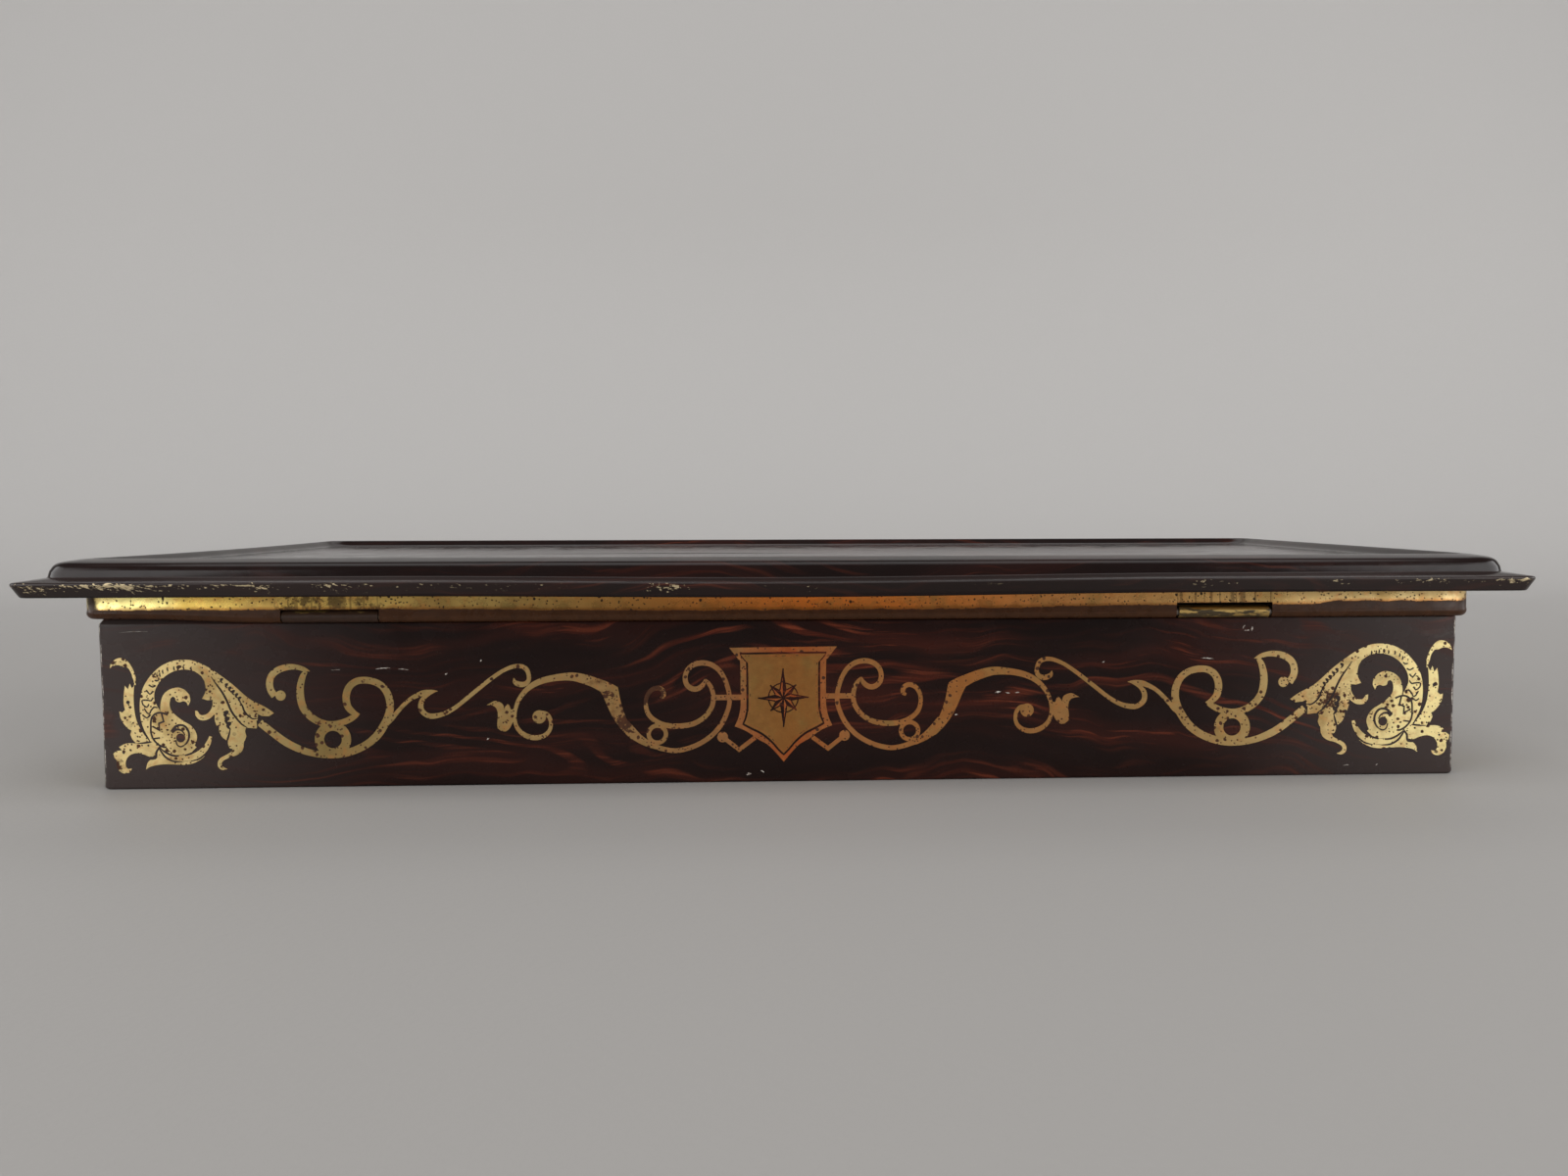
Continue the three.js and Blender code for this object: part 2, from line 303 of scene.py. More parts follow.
def formed(name, face, plan, materials, dished=False):
    """Bends a sheet with this section round a plan. Its face has the first material, its back the second.

    A dished piece goes all the way round and is closed across the middle, where its section ends. Its
    section runs out along the back and in along the face, and that of any other piece is a closed loop.
    """
    back = behind(face, tinplate)[::-1]
    section, first = (back + face, len(back)) if dished else (face + back, 0)
    rings = [plan(offset, max(radius, tinplate)) for offset, _, radius in section]
    count, last = len(rings[0]), len(rings) - 1
    places = [(*p, section[i][1]) for i, ring in enumerate(rings) for p in ring]
    faces, which = [], []
    for i in range(last if dished else len(rings)):
        above = (i + 1) % len(rings)
        for j in range(count if dished else count - 1):
            following = (j + 1) % count
            lower, upper = i * count, above * count
            faces.append((lower + j, lower + following, upper + following, upper + j))
            which.append(0 if first <= i < first + len(face) - 1 else 1)
    if dished:
        faces.append(tuple(range(count))[::-1])
        faces.append(tuple(last * count + j for j in range(count)))
        which += [1, 0]
    else:
        for i in range(len(face) - 1):
            for j, turned in ((0, False), (count - 1, True)):
                cap = tuple(ring * count + j for ring in (i, i + 1, last - i - 1, last - i))
                faces.append(cap[::-1] if turned else cap)
                which.append(1)
    return to_mesh(name, places, faces, materials, which)


def smooth(made, angle=40):
    """Shades a piece smooth but for its edges sharper than an angle in degrees."""
    for polygon in made.data.polygons:
        polygon.use_smooth = True
    made.data.set_sharp_from_angle(angle=math.radians(angle))


def wave(x, y, z):
    """Slight unevenness of the flat walls, nothing at the foot and the shoulder."""
    if not 0 < z < wall_height:
        return Vector((x, y, z))
    depth = wave_depth * math.sin(math.pi * z / wall_height)
    long, short = (2 * math.pi / length for length in wave_lengths)
    if body_depth / 2 - abs(y) < 1.5 * tinplate:
        y -= math.copysign(depth * (1 + math.sin(x * long) * math.cos(x * short + 1)) / 2, y)
    elif body_length / 2 - abs(x) < 1.5 * tinplate:
        x -= math.copysign(depth * (1 + math.sin(y * long)) / 2, x)
    return Vector((x, y, z))


def move_points(made, way):
    """Moves each point of a piece to the place that way gives for it."""
    for vertex in made.data.vertices:
        vertex.co = way(*vertex.co)


def keep_lay(made, lay):
    """Keeps for each point where it lay on the flat printed sheet: along, up, and how worn it is there."""
    attribute = made.data.attributes.new("lay", "FLOAT_VECTOR", "POINT")
    attribute.data.foreach_set("vector", [number for place in lay for number in place])


def lay_print(made, way):
    """Lays the print on a piece as it now stands, by a way that gives the lay of each of its points."""
    keep_lay(made, [way(*vertex.co) for vertex in made.data.vertices])


def round_walls(x, y, z):
    """Along the walls from the middle of the side that a point is on, and up."""
    if body_length / 2 - abs(x) < body_depth / 2 - abs(y):
        return (math.copysign(body_length / 2, x) + math.copysign(1, x) * (y + body_depth / 2), z, 0)
    return (x, z, 0)


def printed(tree):
    """Where on the printed sheet the shaded point lies, in metres: a flat vector, and its three numbers."""
    place = add_node(tree, "Attribute", attribute_name="lay").outputs["Vector"]
    along, up, edge = add_node(tree, "SeparateXYZ", (place,)).outputs
    return add_node(tree, "CombineXYZ", (along, up, 0.0)).outputs[0], along, up, edge


def plus(tree, first, second):
    return sums(tree, "ADD", first, second)


def minus(tree, first, second):
    return sums(tree, "SUBTRACT", first, second)


def larger(tree, first, second):
    return sums(tree, "MAXIMUM", first, second)


def smaller(tree, first, second):
    return sums(tree, "MINIMUM", first, second)


def unsigned(tree, value):
    return sums(tree, "ABSOLUTE", value)


ground_brown = (0.0160, 0.0060, 0.0046)
ground_black = (0.0066, 0.0036, 0.0031)
ground_red = (0.036, 0.0085, 0.0055)
flame_red = (0.072, 0.0138, 0.0068)
flame_bright = (0.20, 0.042, 0.018)
sheen_and_dust_grey = (0.050, 0.037, 0.034)
worn_metal = (0.62, 0.50, 0.30)
scuff_grey = (0.11, 0.095, 0.088)


def grained_print(name, chips=True, shine=(0.20, 0.34), dents=0.012 * mm, gloss_level=0.16, end_sheen_share=1.0):
    """Dark wood grain printed on tinplate: long wavy flames of red-brown on near black, under varnish.

    With chips it is the lid's print, with painted shade on the moulding, greyer towards the ends on the
    flange and chipped along the edge. Without them it is the walls' print, scuffed at their upper corners. A
    painted reflection greys the ground towards both ends, as far as the share given for it.
    """
    made, tree, shader = new_material(name, Specular_IOR_Level=gloss_level)
    place, along, up, edge = printed(tree)
    sway = times(tree, minus(tree, grain(tree, place, 13, 1.0), 0.5), 0.036)
    ripple = times(tree, minus(tree, grain(tree, place, 70, 1.5), 0.5), 0.0060)
    lifted = plus(tree, up, plus(tree, sway, ripple))
    swayed = add_node(tree, "CombineXYZ", (along, lifted, 0.0)).outputs[0]
    rings = sums(tree, "SINE", times(tree, grain(tree, swayed, 1, 1.5, 0.5, (9, 52, 1)), 120))
    broken = between(tree, grain(tree, swayed, 1, 3, 0.6, (34, 380, 1)), 0.36, 0.62)
    patches = between(tree, grain(tree, swayed, 1, 2, 0.5, (13, 75, 1)), 0.40, 0.60)
    lines = times(tree, between(tree, rings, 0.1, 1.0), times(tree, broken, patches))
    streaks = between(tree, grain(tree, swayed, 1, 3, 0.6, (60, 760, 1)), 0.54, 0.64)
    hairs = between(tree, grain(tree, swayed, 1, 2, 0.5, (60, 1700, 1)), 0.46, 0.64)
    left_part = between(tree, along, -95 * mm, 5 * mm, 0.3, 1.0)
    middle = smaller(tree, left_part, between(tree, along, 50 * mm, 115 * mm, 1.0, 0.4))
    middle = times(tree, middle, between(tree, up, 2 * mm, 13 * mm, 0.6, 1.0))
    glow = times(tree, between(tree, grain(tree, swayed, 1, 2, 0.5, (15, 120, 1)), 0.42, 0.66), middle)
    strength = larger(tree, lines, times(tree, streaks, glow))
    strength = times(tree, strength, middle)
    ground = mixed(tree, grain(tree, swayed, 1, 3, 0.6, (24, 260, 1)), ground_black, ground_brown)
    ground = mixed(tree, glow, ground, ground_red)
    # Painted reflection: the ground greys towards both ends of the walls, as the side lamps would show in the
    # varnish.
    end_sheen = between(tree, unsigned(tree, along), 70 * mm, 124 * mm, 0.0, end_sheen_share)
    ground = mixed(tree, end_sheen, ground, sheen_and_dust_grey)
    colour = mixed(tree, strength, ground, mixed(tree, hairs, flame_red, flame_bright))
    gloss = between(tree, grain(tree, place, 130, 4, 0.6), 0.3, 0.75, *shine)
    if chips:
        # The flange greys towards the ends, in the grey that also paints the walls' end reflection.
        greyer_ends = between(tree, unsigned(tree, along), 30 * mm, 105 * mm, 0.14, 0.42)
        greyer_flange = times(tree, between(tree, edge, 0.01, 0.035), greyer_ends)
        # Painted shade: outside the sunk panel the moulding's colour is taken halfway to near black.
        panel = between(tree, unsigned(tree, along), 118 * mm, 123 * mm, 1.0, 0.0)
        panel = times(tree, panel, between(tree, unsigned(tree, up), 52 * mm, 57 * mm, 1.0, 0.0))
        colour = mixed(tree, minus(tree, 0.5, times(tree, panel, 0.5)), colour, ground_black)
        colour = mixed(tree, greyer_flange, colour, sheen_and_dust_grey)
        rubbed = grain(tree, place, 1350, 4, 0.72, (0.7, 1.3, 1))
        lumps = times(tree, minus(tree, grain(tree, place, 90, 1), 0.5), 0.5)
        worn_off = plus(tree, plus(tree, rubbed, lumps), times(tree, edge, 0.30))
        bare = times(tree, between(tree, worn_off, 0.74, 0.78), between(tree, edge, 0.05, 0.2))
        colour = mixed(tree, bare, colour, worn_metal)
        tree.links.new(times(tree, bare, 0.5), shader.inputs["Metallic"])
        gloss = plus(tree, gloss, times(tree, bare, 0.2))
    else:
        corner = between(tree, up, 23 * mm, 27 * mm)
        corner = times(tree, corner, between(tree, up, 28 * mm, 29.5 * mm, 1.0, 0.0))
        corner = times(tree, corner, between(tree, unsigned(tree, along), 113 * mm, 120 * mm))
        scuffs = between(tree, grain(tree, place, 330, 4, 0.75, (0.5, 1.2, 1)), 0.52, 0.72, 0.0, 0.5)
        colour = mixed(tree, times(tree, scuffs, corner), colour, scuff_grey)
    tree.links.new(colour, shader.inputs["Base Color"])
    tree.links.new(gloss, shader.inputs["Roughness"])
    uneven = times(tree, grain(tree, place, 42, 2), 6.0)
    bump(tree, shader, plus(tree, grain(tree, place, 700, 2), uneven), dents)
    return made


def dull_tin(name, colour, stain, roughness=(0.32, 0.55), stained=0.5):
    """Old bare tinplate: grey with a faint crystal pattern, fine rubbing marks and brown spots of rust."""
    made, tree, shader = new_material(name, Metallic=1.0)
    place = add_node(tree, "TexCoord").outputs["Object"]
    crystals = add_node(tree, "TexVoronoi", {"Vector": place, "Scale": 170}, feature="F1")
    shade = times(tree, crystals.outputs["Distance"], 0.35)
    tin = mixed(tree, shade, colour, [c * 0.72 for c in colour])
    spots = between(tree, grain(tree, place, 240, 5, 0.7), 0.60, 0.70)
    clouds = between(tree, grain(tree, place, 23, 3, 0.6), 0.42, 0.68)
    rust = times(tree, plus(tree, spots, times(tree, clouds, 0.4)), stained, True)
    tree.links.new(mixed(tree, rust, tin, stain), shader.inputs["Base Color"])
    rough = between(tree, grain(tree, place, 150, 4, 0.6, (1, 5, 5)), 0.3, 0.7, *roughness)
    tree.links.new(plus(tree, rough, times(tree, rust, 0.25)), shader.inputs["Roughness"])
    bump(tree, shader, plus(tree, grain(tree, place, 900, 3), times(tree, rust, 0.6)), 0.01 * mm)
    return made


def radius_at(offset):
    """The radius of a sheet's bend round a corner of the tin, this far out from the face of the walls."""
    return corner_radius + offset


rust_brown = (0.13, 0.065, 0.03)
wall_print = grained_print("wall_print", chips=False)
inside_tin = dull_tin("inside_tin", (0.50, 0.47, 0.41), rust_brown)
wall_path = [
    (-foot_width, 0.0),
    (0.0, 0.0),
    *((0.0, wall_height * row / wall_rows) for row in range(1, wall_rows)),
    (0.0, wall_height),
    (-neck_step, wall_height + neck_step),
    (-neck_step, neck_top),
    (-neck_step - hem_width, neck_top),
    (-neck_step - hem_width, neck_top - hem_depth),
]
wall_path = [(offset, height, radius_at(offset)) for offset, height in wall_path]
wall_bends = {1: foot_fold, wall_rows + 1: shoulder_fold, wall_rows + 2: shoulder_fold}
wall_bends |= {wall_rows + 3: hem_radius, wall_rows + 4: hem_radius}
wall_section = folded(wall_path, wall_bends)
hinge_boxes = {-1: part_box("hinge_tab_left"), 1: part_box("hinge_tab_right")}
hinge_x = {side: (low.x + high.x) / 2 for side, (low, high) in hinge_boxes.items()}
hinge_length = hinge_boxes[1][1].x - hinge_boxes[1][0].x
leaf_top = hinge_boxes[1][1].z
slot_play = 0.3 * mm


def block(name, low, high):
    """A plain block that cuts a slot, and isn't part of the tin."""
    corners = [Vector(corner) for corner in itertools.product(*zip(low, high))]
    faces = [(0, 1, 3, 2), (4, 6, 7, 5), (0, 4, 5, 1), (2, 3, 7, 6), (0, 2, 6, 4), (1, 5, 7, 3)]
    return to_mesh(name, corners, faces)


def cut(made, blocks):
    """Cuts blocks out of a piece for good."""
    for blade in blocks:
        modifier = made.modifiers.new("cut", "BOOLEAN")
        modifier.operation = "DIFFERENCE"
        modifier.solver = "EXACT"
        modifier.object = blade
        evaluated = made.evaluated_get(bpy.context.evaluated_depsgraph_get())
        mesh = bpy.data.meshes.new_from_object(evaluated)
        made.modifiers.clear()
        made.data = mesh
        bpy.data.objects.remove(blade)


def leaf_slots():
    """One block for each slot in the neck that a hinge leaf passes through."""
    half = hinge_length / 2 + slot_play
    neck_face = -body_depth / 2 + neck_step
    blocks = []
    for middle in hinge_x.values():
        low = (middle - half, neck_face - tinplate, leaf_top - tinplate - slot_play)
        blocks.append(block("slot", low, (middle + half, neck_face + 1.5 * tinplate, leaf_top + slot_play)))
    return blocks


def seam_plan(turned):
    """The plan of one half, drawn back from the seams by half the gap there."""
    def plan(offset, radius):
        points = half_plan(offset, radius, turned)
        points[0] += (points[1] - points[0]).normalized() * seam_gap / 2
        points[-1] += (points[-2] - points[-1]).normalized() * seam_gap / 2
        return points
    return plan


def corner_lap(turned):
    """The narrow tab that one sheet turns inside the other at a seam corner, behind the joint."""
    end, side = body_length / 2 - seam_gap, body_depth / 2 - 2 * tinplate
    plan = [
        (end, side - 2 * tinplate),
        (end - lap_bevel, side - lap_bevel),
        (end - tinplate, side),
        (end - lap_width, side),
    ]
    inner = [(x - tinplate, y) if i == 0 else (x, y - tinplate) for i, (x, y) in enumerate(plan)]
    inner[1] = (plan[1][0] - tinplate, plan[1][1] - tinplate)
    outline = plan + inner[::-1]
    way = -1 if turned else 1
    places = [(way * x, way * y, z) for z in lap_heights for x, y in outline]
    count, last = len(outline), len(plan) - 1
    faces = [(i, count + i, count + (i + 1) % count, (i + 1) % count) for i in range(count)]
    for i in range(last):
        faces.append((i, i + 1, count - 2 - i, count - 1 - i))
        faces.append((2 * count - 1 - i, 2 * count - 2 - i, count + i + 1, count + i))
    return to_mesh("lap_" + ("left" if turned else "right"), places, faces, [inside_tin])


sheets = {
    "back_and_right_sheet": ("back_and_right_wall", False),
    "front_and_left_sheet": ("front_and_left_wall", True),
}
for name, (node, turned) in sheets.items():
    wall = formed(name, wall_section, seam_plan(turned), [wall_print, inside_tin])
    if not turned:
        cut(wall, leaf_slots())
    move_points(wall, wave)
    lay_print(wall, round_walls)
    smooth(wall)
    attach(wall, "box")
    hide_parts(node)
    lap = corner_lap(turned)
    smooth(lap)
    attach(lap, "box")

# Bottom plate: a shallow tray of bare tinplate with its rim turned up. It lies on the folded feet of the
# walls and is soldered to them all round.
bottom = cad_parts["bottom_plate"]
bottom_tin = dull_tin("bottom_tin", (0.44, 0.42, 0.38), rust_brown, stained=0.7)
bottom.data.materials.clear()
bottom.data.materials.append(bottom_tin)

# Hinge tabs: two straps of tinplate, each rolled round the rim wire into a knuckle. The leaf goes through a
# slot in the neck and down inside the back wall, where it is soldered. The left knuckle keeps its brown
# lacquer, and the right one is worn to a brassy yellow.
wire_radius, wire_play = 0.7 * mm, 0.1 * mm
bead_offset, bead_height = 0.7 * mm, 31.28 * mm
bead_radius = wire_radius + wire_play + tinplate
knuckle_turn, knuckle_steps, tab_pitches = (200, 450), 40, 8
leaf_back, leaf_foot, leaf_dip = 1.7 * mm, 19 * mm, 0.37 * mm
tab_bevel, bevel_angle = 0.07 * mm, 50
rubbed_brass, leaf_grey = (0.52, 0.35, 0.12), (0.40, 0.38, 0.33)
knuckle_looks = {
    -1: ("left_hinge_tab", "hinge_tab_left", (0.040, 0.020, 0.012), 0.74),
    1: ("right_hinge_tab", "hinge_tab_right", (0.066, 0.046, 0.022), 0.50),
}


def round_wire(radius, degrees):
    """A section point on a circle round the rim wire."""
    turn = math.radians(degrees)
    offset = bead_offset + radius * math.cos(turn)
    return (offset, bead_height + radius * math.sin(turn), radius_at(offset))


def knuckle_tin(name, lacquer, worn):
    """Brown lacquer on the knuckle, rubbed to brass along its top, and bare tin on the leaf."""
    made, tree, shader = new_material(name, Specular_IOR_Level=0.25)
    place = add_node(tree, "TexCoord").outputs["Object"]
    _, depth, up = add_node(tree, "SeparateXYZ", (place,)).outputs
    rubbed = grain(tree, place, 420, 4, 0.65, (0.5, 2, 2))
    top = between(tree, up, bead_height, bead_height + bead_radius, 0.0, 0.22)
    brass = between(tree, plus(tree, rubbed, top), worn, worn + 0.06)
    leaf = between(tree, depth, -body_depth / 2 + 1.3 * mm, -body_depth / 2 + 1.6 * mm)
    below = between(tree, up, bead_height, bead_height + 0.4 * mm, 1.0, 0.0)
    below = times(tree, below, between(tree, depth, -body_depth / 2 + 0.2 * mm, -body_depth / 2 + 0.5 * mm))
    leaf = larger(tree, leaf, below)
    dark, light = ([part * share for part in lacquer] for share in (0.6, 1.5))
    shade = mixed(tree, grain(tree, place, 900, 3), dark, light)
    colour = mixed(tree, brass, shade, rubbed_brass)
    tree.links.new(mixed(tree, leaf, colour, leaf_grey), shader.inputs["Base Color"])
    tree.links.new(larger(tree, brass, leaf), shader.inputs["Metallic"])
    tree.links.new(between(tree, rubbed, 0.3, 0.7, 0.28, 0.5), shader.inputs["Roughness"])
    bump(tree, shader, rubbed, 0.03 * mm)
    return made


def tab_plan(side):
    """The plan of a hinge tab: a straight run beside the back wall, cut into short pitches."""
    start = hinge_x[side] - hinge_length / 2
    steps = [start + hinge_length * step / tab_pitches for step in range(tab_pitches + 1)]

    def plan(offset, radius):
        return [Vector((x, -body_depth / 2 - offset)) for x in steps]
    return plan


tab_face = [
    round_wire(bead_radius, knuckle_turn[0] + (knuckle_turn[1] - knuckle_turn[0]) * step / knuckle_steps)
    for step in range(knuckle_steps + 1)
]
leaf_path = [
    tab_face[-1],
    (-leaf_back, bead_height + bead_radius, 0),
    (-leaf_back, wall_height + neck_step - leaf_dip, 0),
    (-leaf_back + neck_step, wall_height - leaf_dip, 0),
    (-leaf_back + neck_step, leaf_foot, 0),
]
tab_face += folded(leaf_path, {1: 0.4 * mm, 2: 0.2 * mm, 3: 0.2 * mm})[1:]
for side, (name, node, lacquer, worn) in knuckle_looks.items():
    lacquered = knuckle_tin(name + "_lacquer", lacquer, worn)
    tab = formed(name, tab_face, tab_plan(side), [lacquered, lacquered])
    bevel = tab.modifiers.new("edges", "BEVEL")
    bevel.width = tab_bevel
    bevel.segments = 2
    bevel.limit_method = "ANGLE"
    bevel.angle_limit = math.radians(bevel_angle)
    smooth(tab)
    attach(tab, "box")
    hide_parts(node)

# Lid top: one pressing of tinplate. Its edge is folded under to hold the skirt, and from it a flat flange,
# a steep round moulding and a shallow cove lead up and in to the sunk panel. It has the same dark grain.
lid_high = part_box("lid_top")[1]
lid_edge = lid_high.x - body_length / 2
crest_height = lid_high.z
hem_height = 35.38 * mm
edge_height = 37.98 * mm
edge_undercut, hem_return = 1.2 * mm, 2.5 * mm
edge_radius, moulding_radius = 2 * mm, 4 * mm
fold_radius = 0.42 * mm
flange_end = (6.2 * mm, 38.68 * mm)
moulding_points = [(5.993, 39.768), (5.464, 40.792), (4.682, 41.336), (3.118, 41.656), (1.6, 41.88)]
cove_points = [
    (1.15, 41.80), (0.65, 41.46), (0.05, 40.96), (-0.5, 40.60), (-1.2, 40.42), (-2.5, 40.37),
    (-14.0, 40.38),
]
panel_points = [(-20, 40.38), (-28, 40.38), (-36, 40.38), (-44, 40.38)]
side_sag, side_sag_run = 0.3 * mm, (85 * mm, 120 * mm)
panel_sag, panel_flat, panel_inset, panel_side = 0.75 * mm, 65 * mm, 2 * mm, 3 * mm
panel_waves = (23 * mm, 60 * mm)
edge_sag, edge_sag_reach, hinge_side = 0.5 * mm, 75 * mm, (15 * mm, 55 * mm)
smooth_steps = 4
chip_line, chip_reach, flange_mark = 0.55 * mm, 0.95 * mm, 0.045
edge_chips = [
    (-140, 0.3), (-132, 0.5), (-128, 0.95), (-118, 0.9), (-105, 0.9), (-93, 0.85), (-84, 0.5), (-78, 0.5),
    (-72, 0.75), (-66, 0.2), (-30, 0.2), (-22, 0.7), (-16, 0.2), (0, 0.2), (4, 0.7), (10, 0.1),
    (70, 0.15), (80, 0.5), (86, 0.15), (104, 0.3), (112, 0.8), (118, 0.95), (134, 0.95), (140, 0.6),
]


def smooth_run(points, steps):
    """A Catmull-Rom curve through points of any dimension, with this many steps between two of them."""
    vectors = [Vector(p) for p in points]
    padded = [2 * vectors[0] - vectors[1], *vectors, 2 * vectors[-1] - vectors[-2]]
    made = []
    for before, start, end, after in zip(padded, padded[1:], padded[2:], padded[3:]):
        for step in range(steps):
            t = step / steps
            made.append(
                (2 * start + (end - before) * t + (2 * before - 5 * start + 4 * end - after) * t**2
                 + (3 * (start - end) + after - before) * t**3) / 2
            )
    return made + [vectors[-1]]


lid_path = [
    (lid_edge - edge_undercut - hem_return, hem_height, edge_radius),
    (lid_edge - edge_undercut, hem_height, edge_radius),
    (lid_edge, edge_height, edge_radius),
    (*flange_end, moulding_radius),
]
lid_path += [(offset * mm, height * mm, moulding_radius) for offset, height in moulding_points[:1]]
lid_face = folded(lid_path, {1: 0.35 * mm, 2: fold_radius, 3: 0.32 * mm})
crest_run = smooth_run(moulding_points + cove_points, smooth_steps)[1:]
lid_face += [(p.x * mm, p.y * mm, moulding_radius) for p in crest_run]
lid_face += [(offset * mm, height * mm, moulding_radius) for offset, height in panel_points]


def rising(value, start, end):
    """0 where value has not come to start, 1 where it is past end, and even in between."""
    return min(max((value - start) / (end - start), 0), 1)


def hangs_low(x, y):
    """How far the lid's hinge edge hangs down here: most in its middle, and nothing at the two knuckles."""
    if abs(x) > edge_sag_reach:
        return 0
    return edge_sag * math.cos(math.pi * x / (2 * edge_sag_reach)) ** 2 * rising(-y, *hinge_side)


def old_lid(x, y, z):
    """The lid is no longer flat: its left end is dented, its panel sags, and its hinge edge hangs low."""
    half_length, half_depth = body_length / 2 - panel_inset, body_depth / 2 - panel_inset
    on_rim = rising(z, lid_face[-1][1], crest_height) * max(math.cos(math.pi * y / body_depth), 0) ** 0.7
    dent = side_sag * rising(-x, *side_sag_run) * on_rim
    lengthwise = max(1 - (max(abs(x) - panel_flat, 0) / (half_length - panel_flat)) ** 2, 0)
    across = rising(y, -half_depth, panel_side - half_depth) * (1 - max(y / half_depth, 0) ** 2)
    hollow = panel_sag * max(lengthwise * across, 0) * rising(z, flange_end[1], flange_end[1] + mm)
    hollow *= 0.88 + 0.12 * math.sin(x / panel_waves[0]) * math.cos(x / panel_waves[1])
    hanging = hangs_low(x, y) * rising(z, crest_height, flange_end[1])
    return Vector((x, y, z - dent - hollow - hanging))


def chipped(x, y):
    """How much the lid's edge has lost its print at this point of the edge, from 0 to 1."""
    if y > -body_depth / 2:
        return 0.35 + 0.2 * math.sin(x / (9 * mm) + y / (13 * mm))
    for (start, low), (end, high) in zip(edge_chips, edge_chips[1:]):
        if start * mm <= x <= end * mm:
            return low + (high - low) * (x / mm - start) / (end - start)
    return edge_chips[-1][1]


lid_print = grained_print("lid_print", shine=(0.11, 0.22), dents=0.006 * mm, gloss_level=0.24, end_sheen_share=0.0)
lid = formed("lid_pressing", lid_face, whole_plan, [lid_print, inside_tin], dished=True)
# In the section the middle of the edge's fold comes after one point, one bend and half of the fold.
fold_place = 1 + (fold_steps + 1) + fold_steps // 2
flat_from_middle = [lid_face[-1][0]]
for here, there in zip(lid_face[::-1], lid_face[-2::-1]):
    flat_from_middle.append(flat_from_middle[-1] + math.dist(here[:2], there[:2]))
fold_at = flat_from_middle[-1 - fold_place]
lay = []
# The section runs from the middle out along the back, and in again along the face.
for flat in flat_from_middle + flat_from_middle[::-1]:
    edge = 1.0 - min(abs(flat - fold_at - chip_line) / chip_reach, 1.0)
    on_flange = flange_mark if 0 < fold_at - flat < lid_edge - flange_end[0] else 0
    lay += [(p.x, p.y, max(edge * chipped(*p), on_flange)) for p in whole_plan(flat, moulding_radius)]
keep_lay(lid, lay)
move_points(lid, old_lid)
smooth(lid)
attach(lid, "lid")
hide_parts("lid_top")

# Skirts: two bent strips of tinplate that meet at the same corners as the walls. Each is turned out at its
# top into the lid's folded edge, shows as a flat gilt band, and is curled at its foot round the wire as a
# brown bead.
skirt_standoff = 1.7 * mm
skirt_flange_height = 35.98 * mm
skirt_flange_edge = 8.1 * mm
bead_turn, bead_steps = (-245, 24.6), 36
knuckle_gap = {-1: 0.25 * mm, 1: 0.55 * mm}
knuckle_gap_above = {-1: 0.2 * mm, 1: 0.65 * mm}
bent_up, bent_from, bent_to = 0.85 * mm, -92 * mm, -120 * mm
gold_dull, gold_flush = (0.36, 0.22, 0.07), (0.56, 0.21, 0.055)
bead_brown, foot_amber, pit_brown = (0.055, 0.022, 0.009), (0.30, 0.10, 0.022), (0.05, 0.028, 0.014)
# Painted reflection of the gilt band: its tones by mm from the middle, brighter at the ends and orange in the
# middle.
band_sheen_tones = {
    -130: (0.94, 0.84, 0.38), -112: (0.90, 0.76, 0.27), -109: (0.76, 0.52, 0.12), -92: (0.66, 0.45, 0.12),
    -52: (0.58, 0.38, 0.12), -25: (0.62, 0.27, 0.07), 2: (0.98, 0.28, 0.05), 20: (0.98, 0.30, 0.06),
    48: (0.74, 0.32, 0.10), 75: (0.60, 0.36, 0.13), 109: (0.54, 0.40, 0.18), 130: (0.80, 0.62, 0.32),
}


def old_skirt(x, y, z):
    """The skirt's foot is bent up at the left hinge corner, and its top hangs low with the lid's edge."""
    share = rising(x, bent_from, bent_to)
    share *= share * (3 - 2 * share)
    height = rising(z, skirt_flange_height - 0.3 * mm, skirt_flange_height - 3.5 * mm)
    held = rising(z, bead_height + mm, skirt_flange_height - 0.4 * mm)
    lifted = bent_up * share * rising(-y, *hinge_side) * height
    return Vector((x, y, z + lifted - hangs_low(x, y) * held))


def round_skirt(x, y, z):
    """Along and up as on the walls, and on over the turned-out top as if it still stood upright."""
    along, up, edge = round_walls(x, y, z)
    if z > skirt_flange_height - 0.5 * mm:
        up += max(abs(x) - body_length / 2, abs(y) - body_depth / 2) - skirt_standoff
    return (along, up, edge)


def specks(tree, place, scale, size, share=0.5):
    """Small round spots about size/scale wide, scattered unevenly over this share of the surface."""
    cells = add_node(tree, "TexVoronoi", {"Vector": place, "Scale": scale}, feature="F1")
    uneven = grain(tree, place, scale * 2.3, 2)
    reach = plus(tree, cells.outputs["Distance"], times(tree, minus(tree, uneven, 0.5), size))
    spots = between(tree, reach, size * 0.75, size, 1.0, 0.0)
    crowded = between(tree, grain(tree, place, scale / 5, 2), 0.6 - share / 4, 0.66 - share / 4)
    return times(tree, spots, crowded)


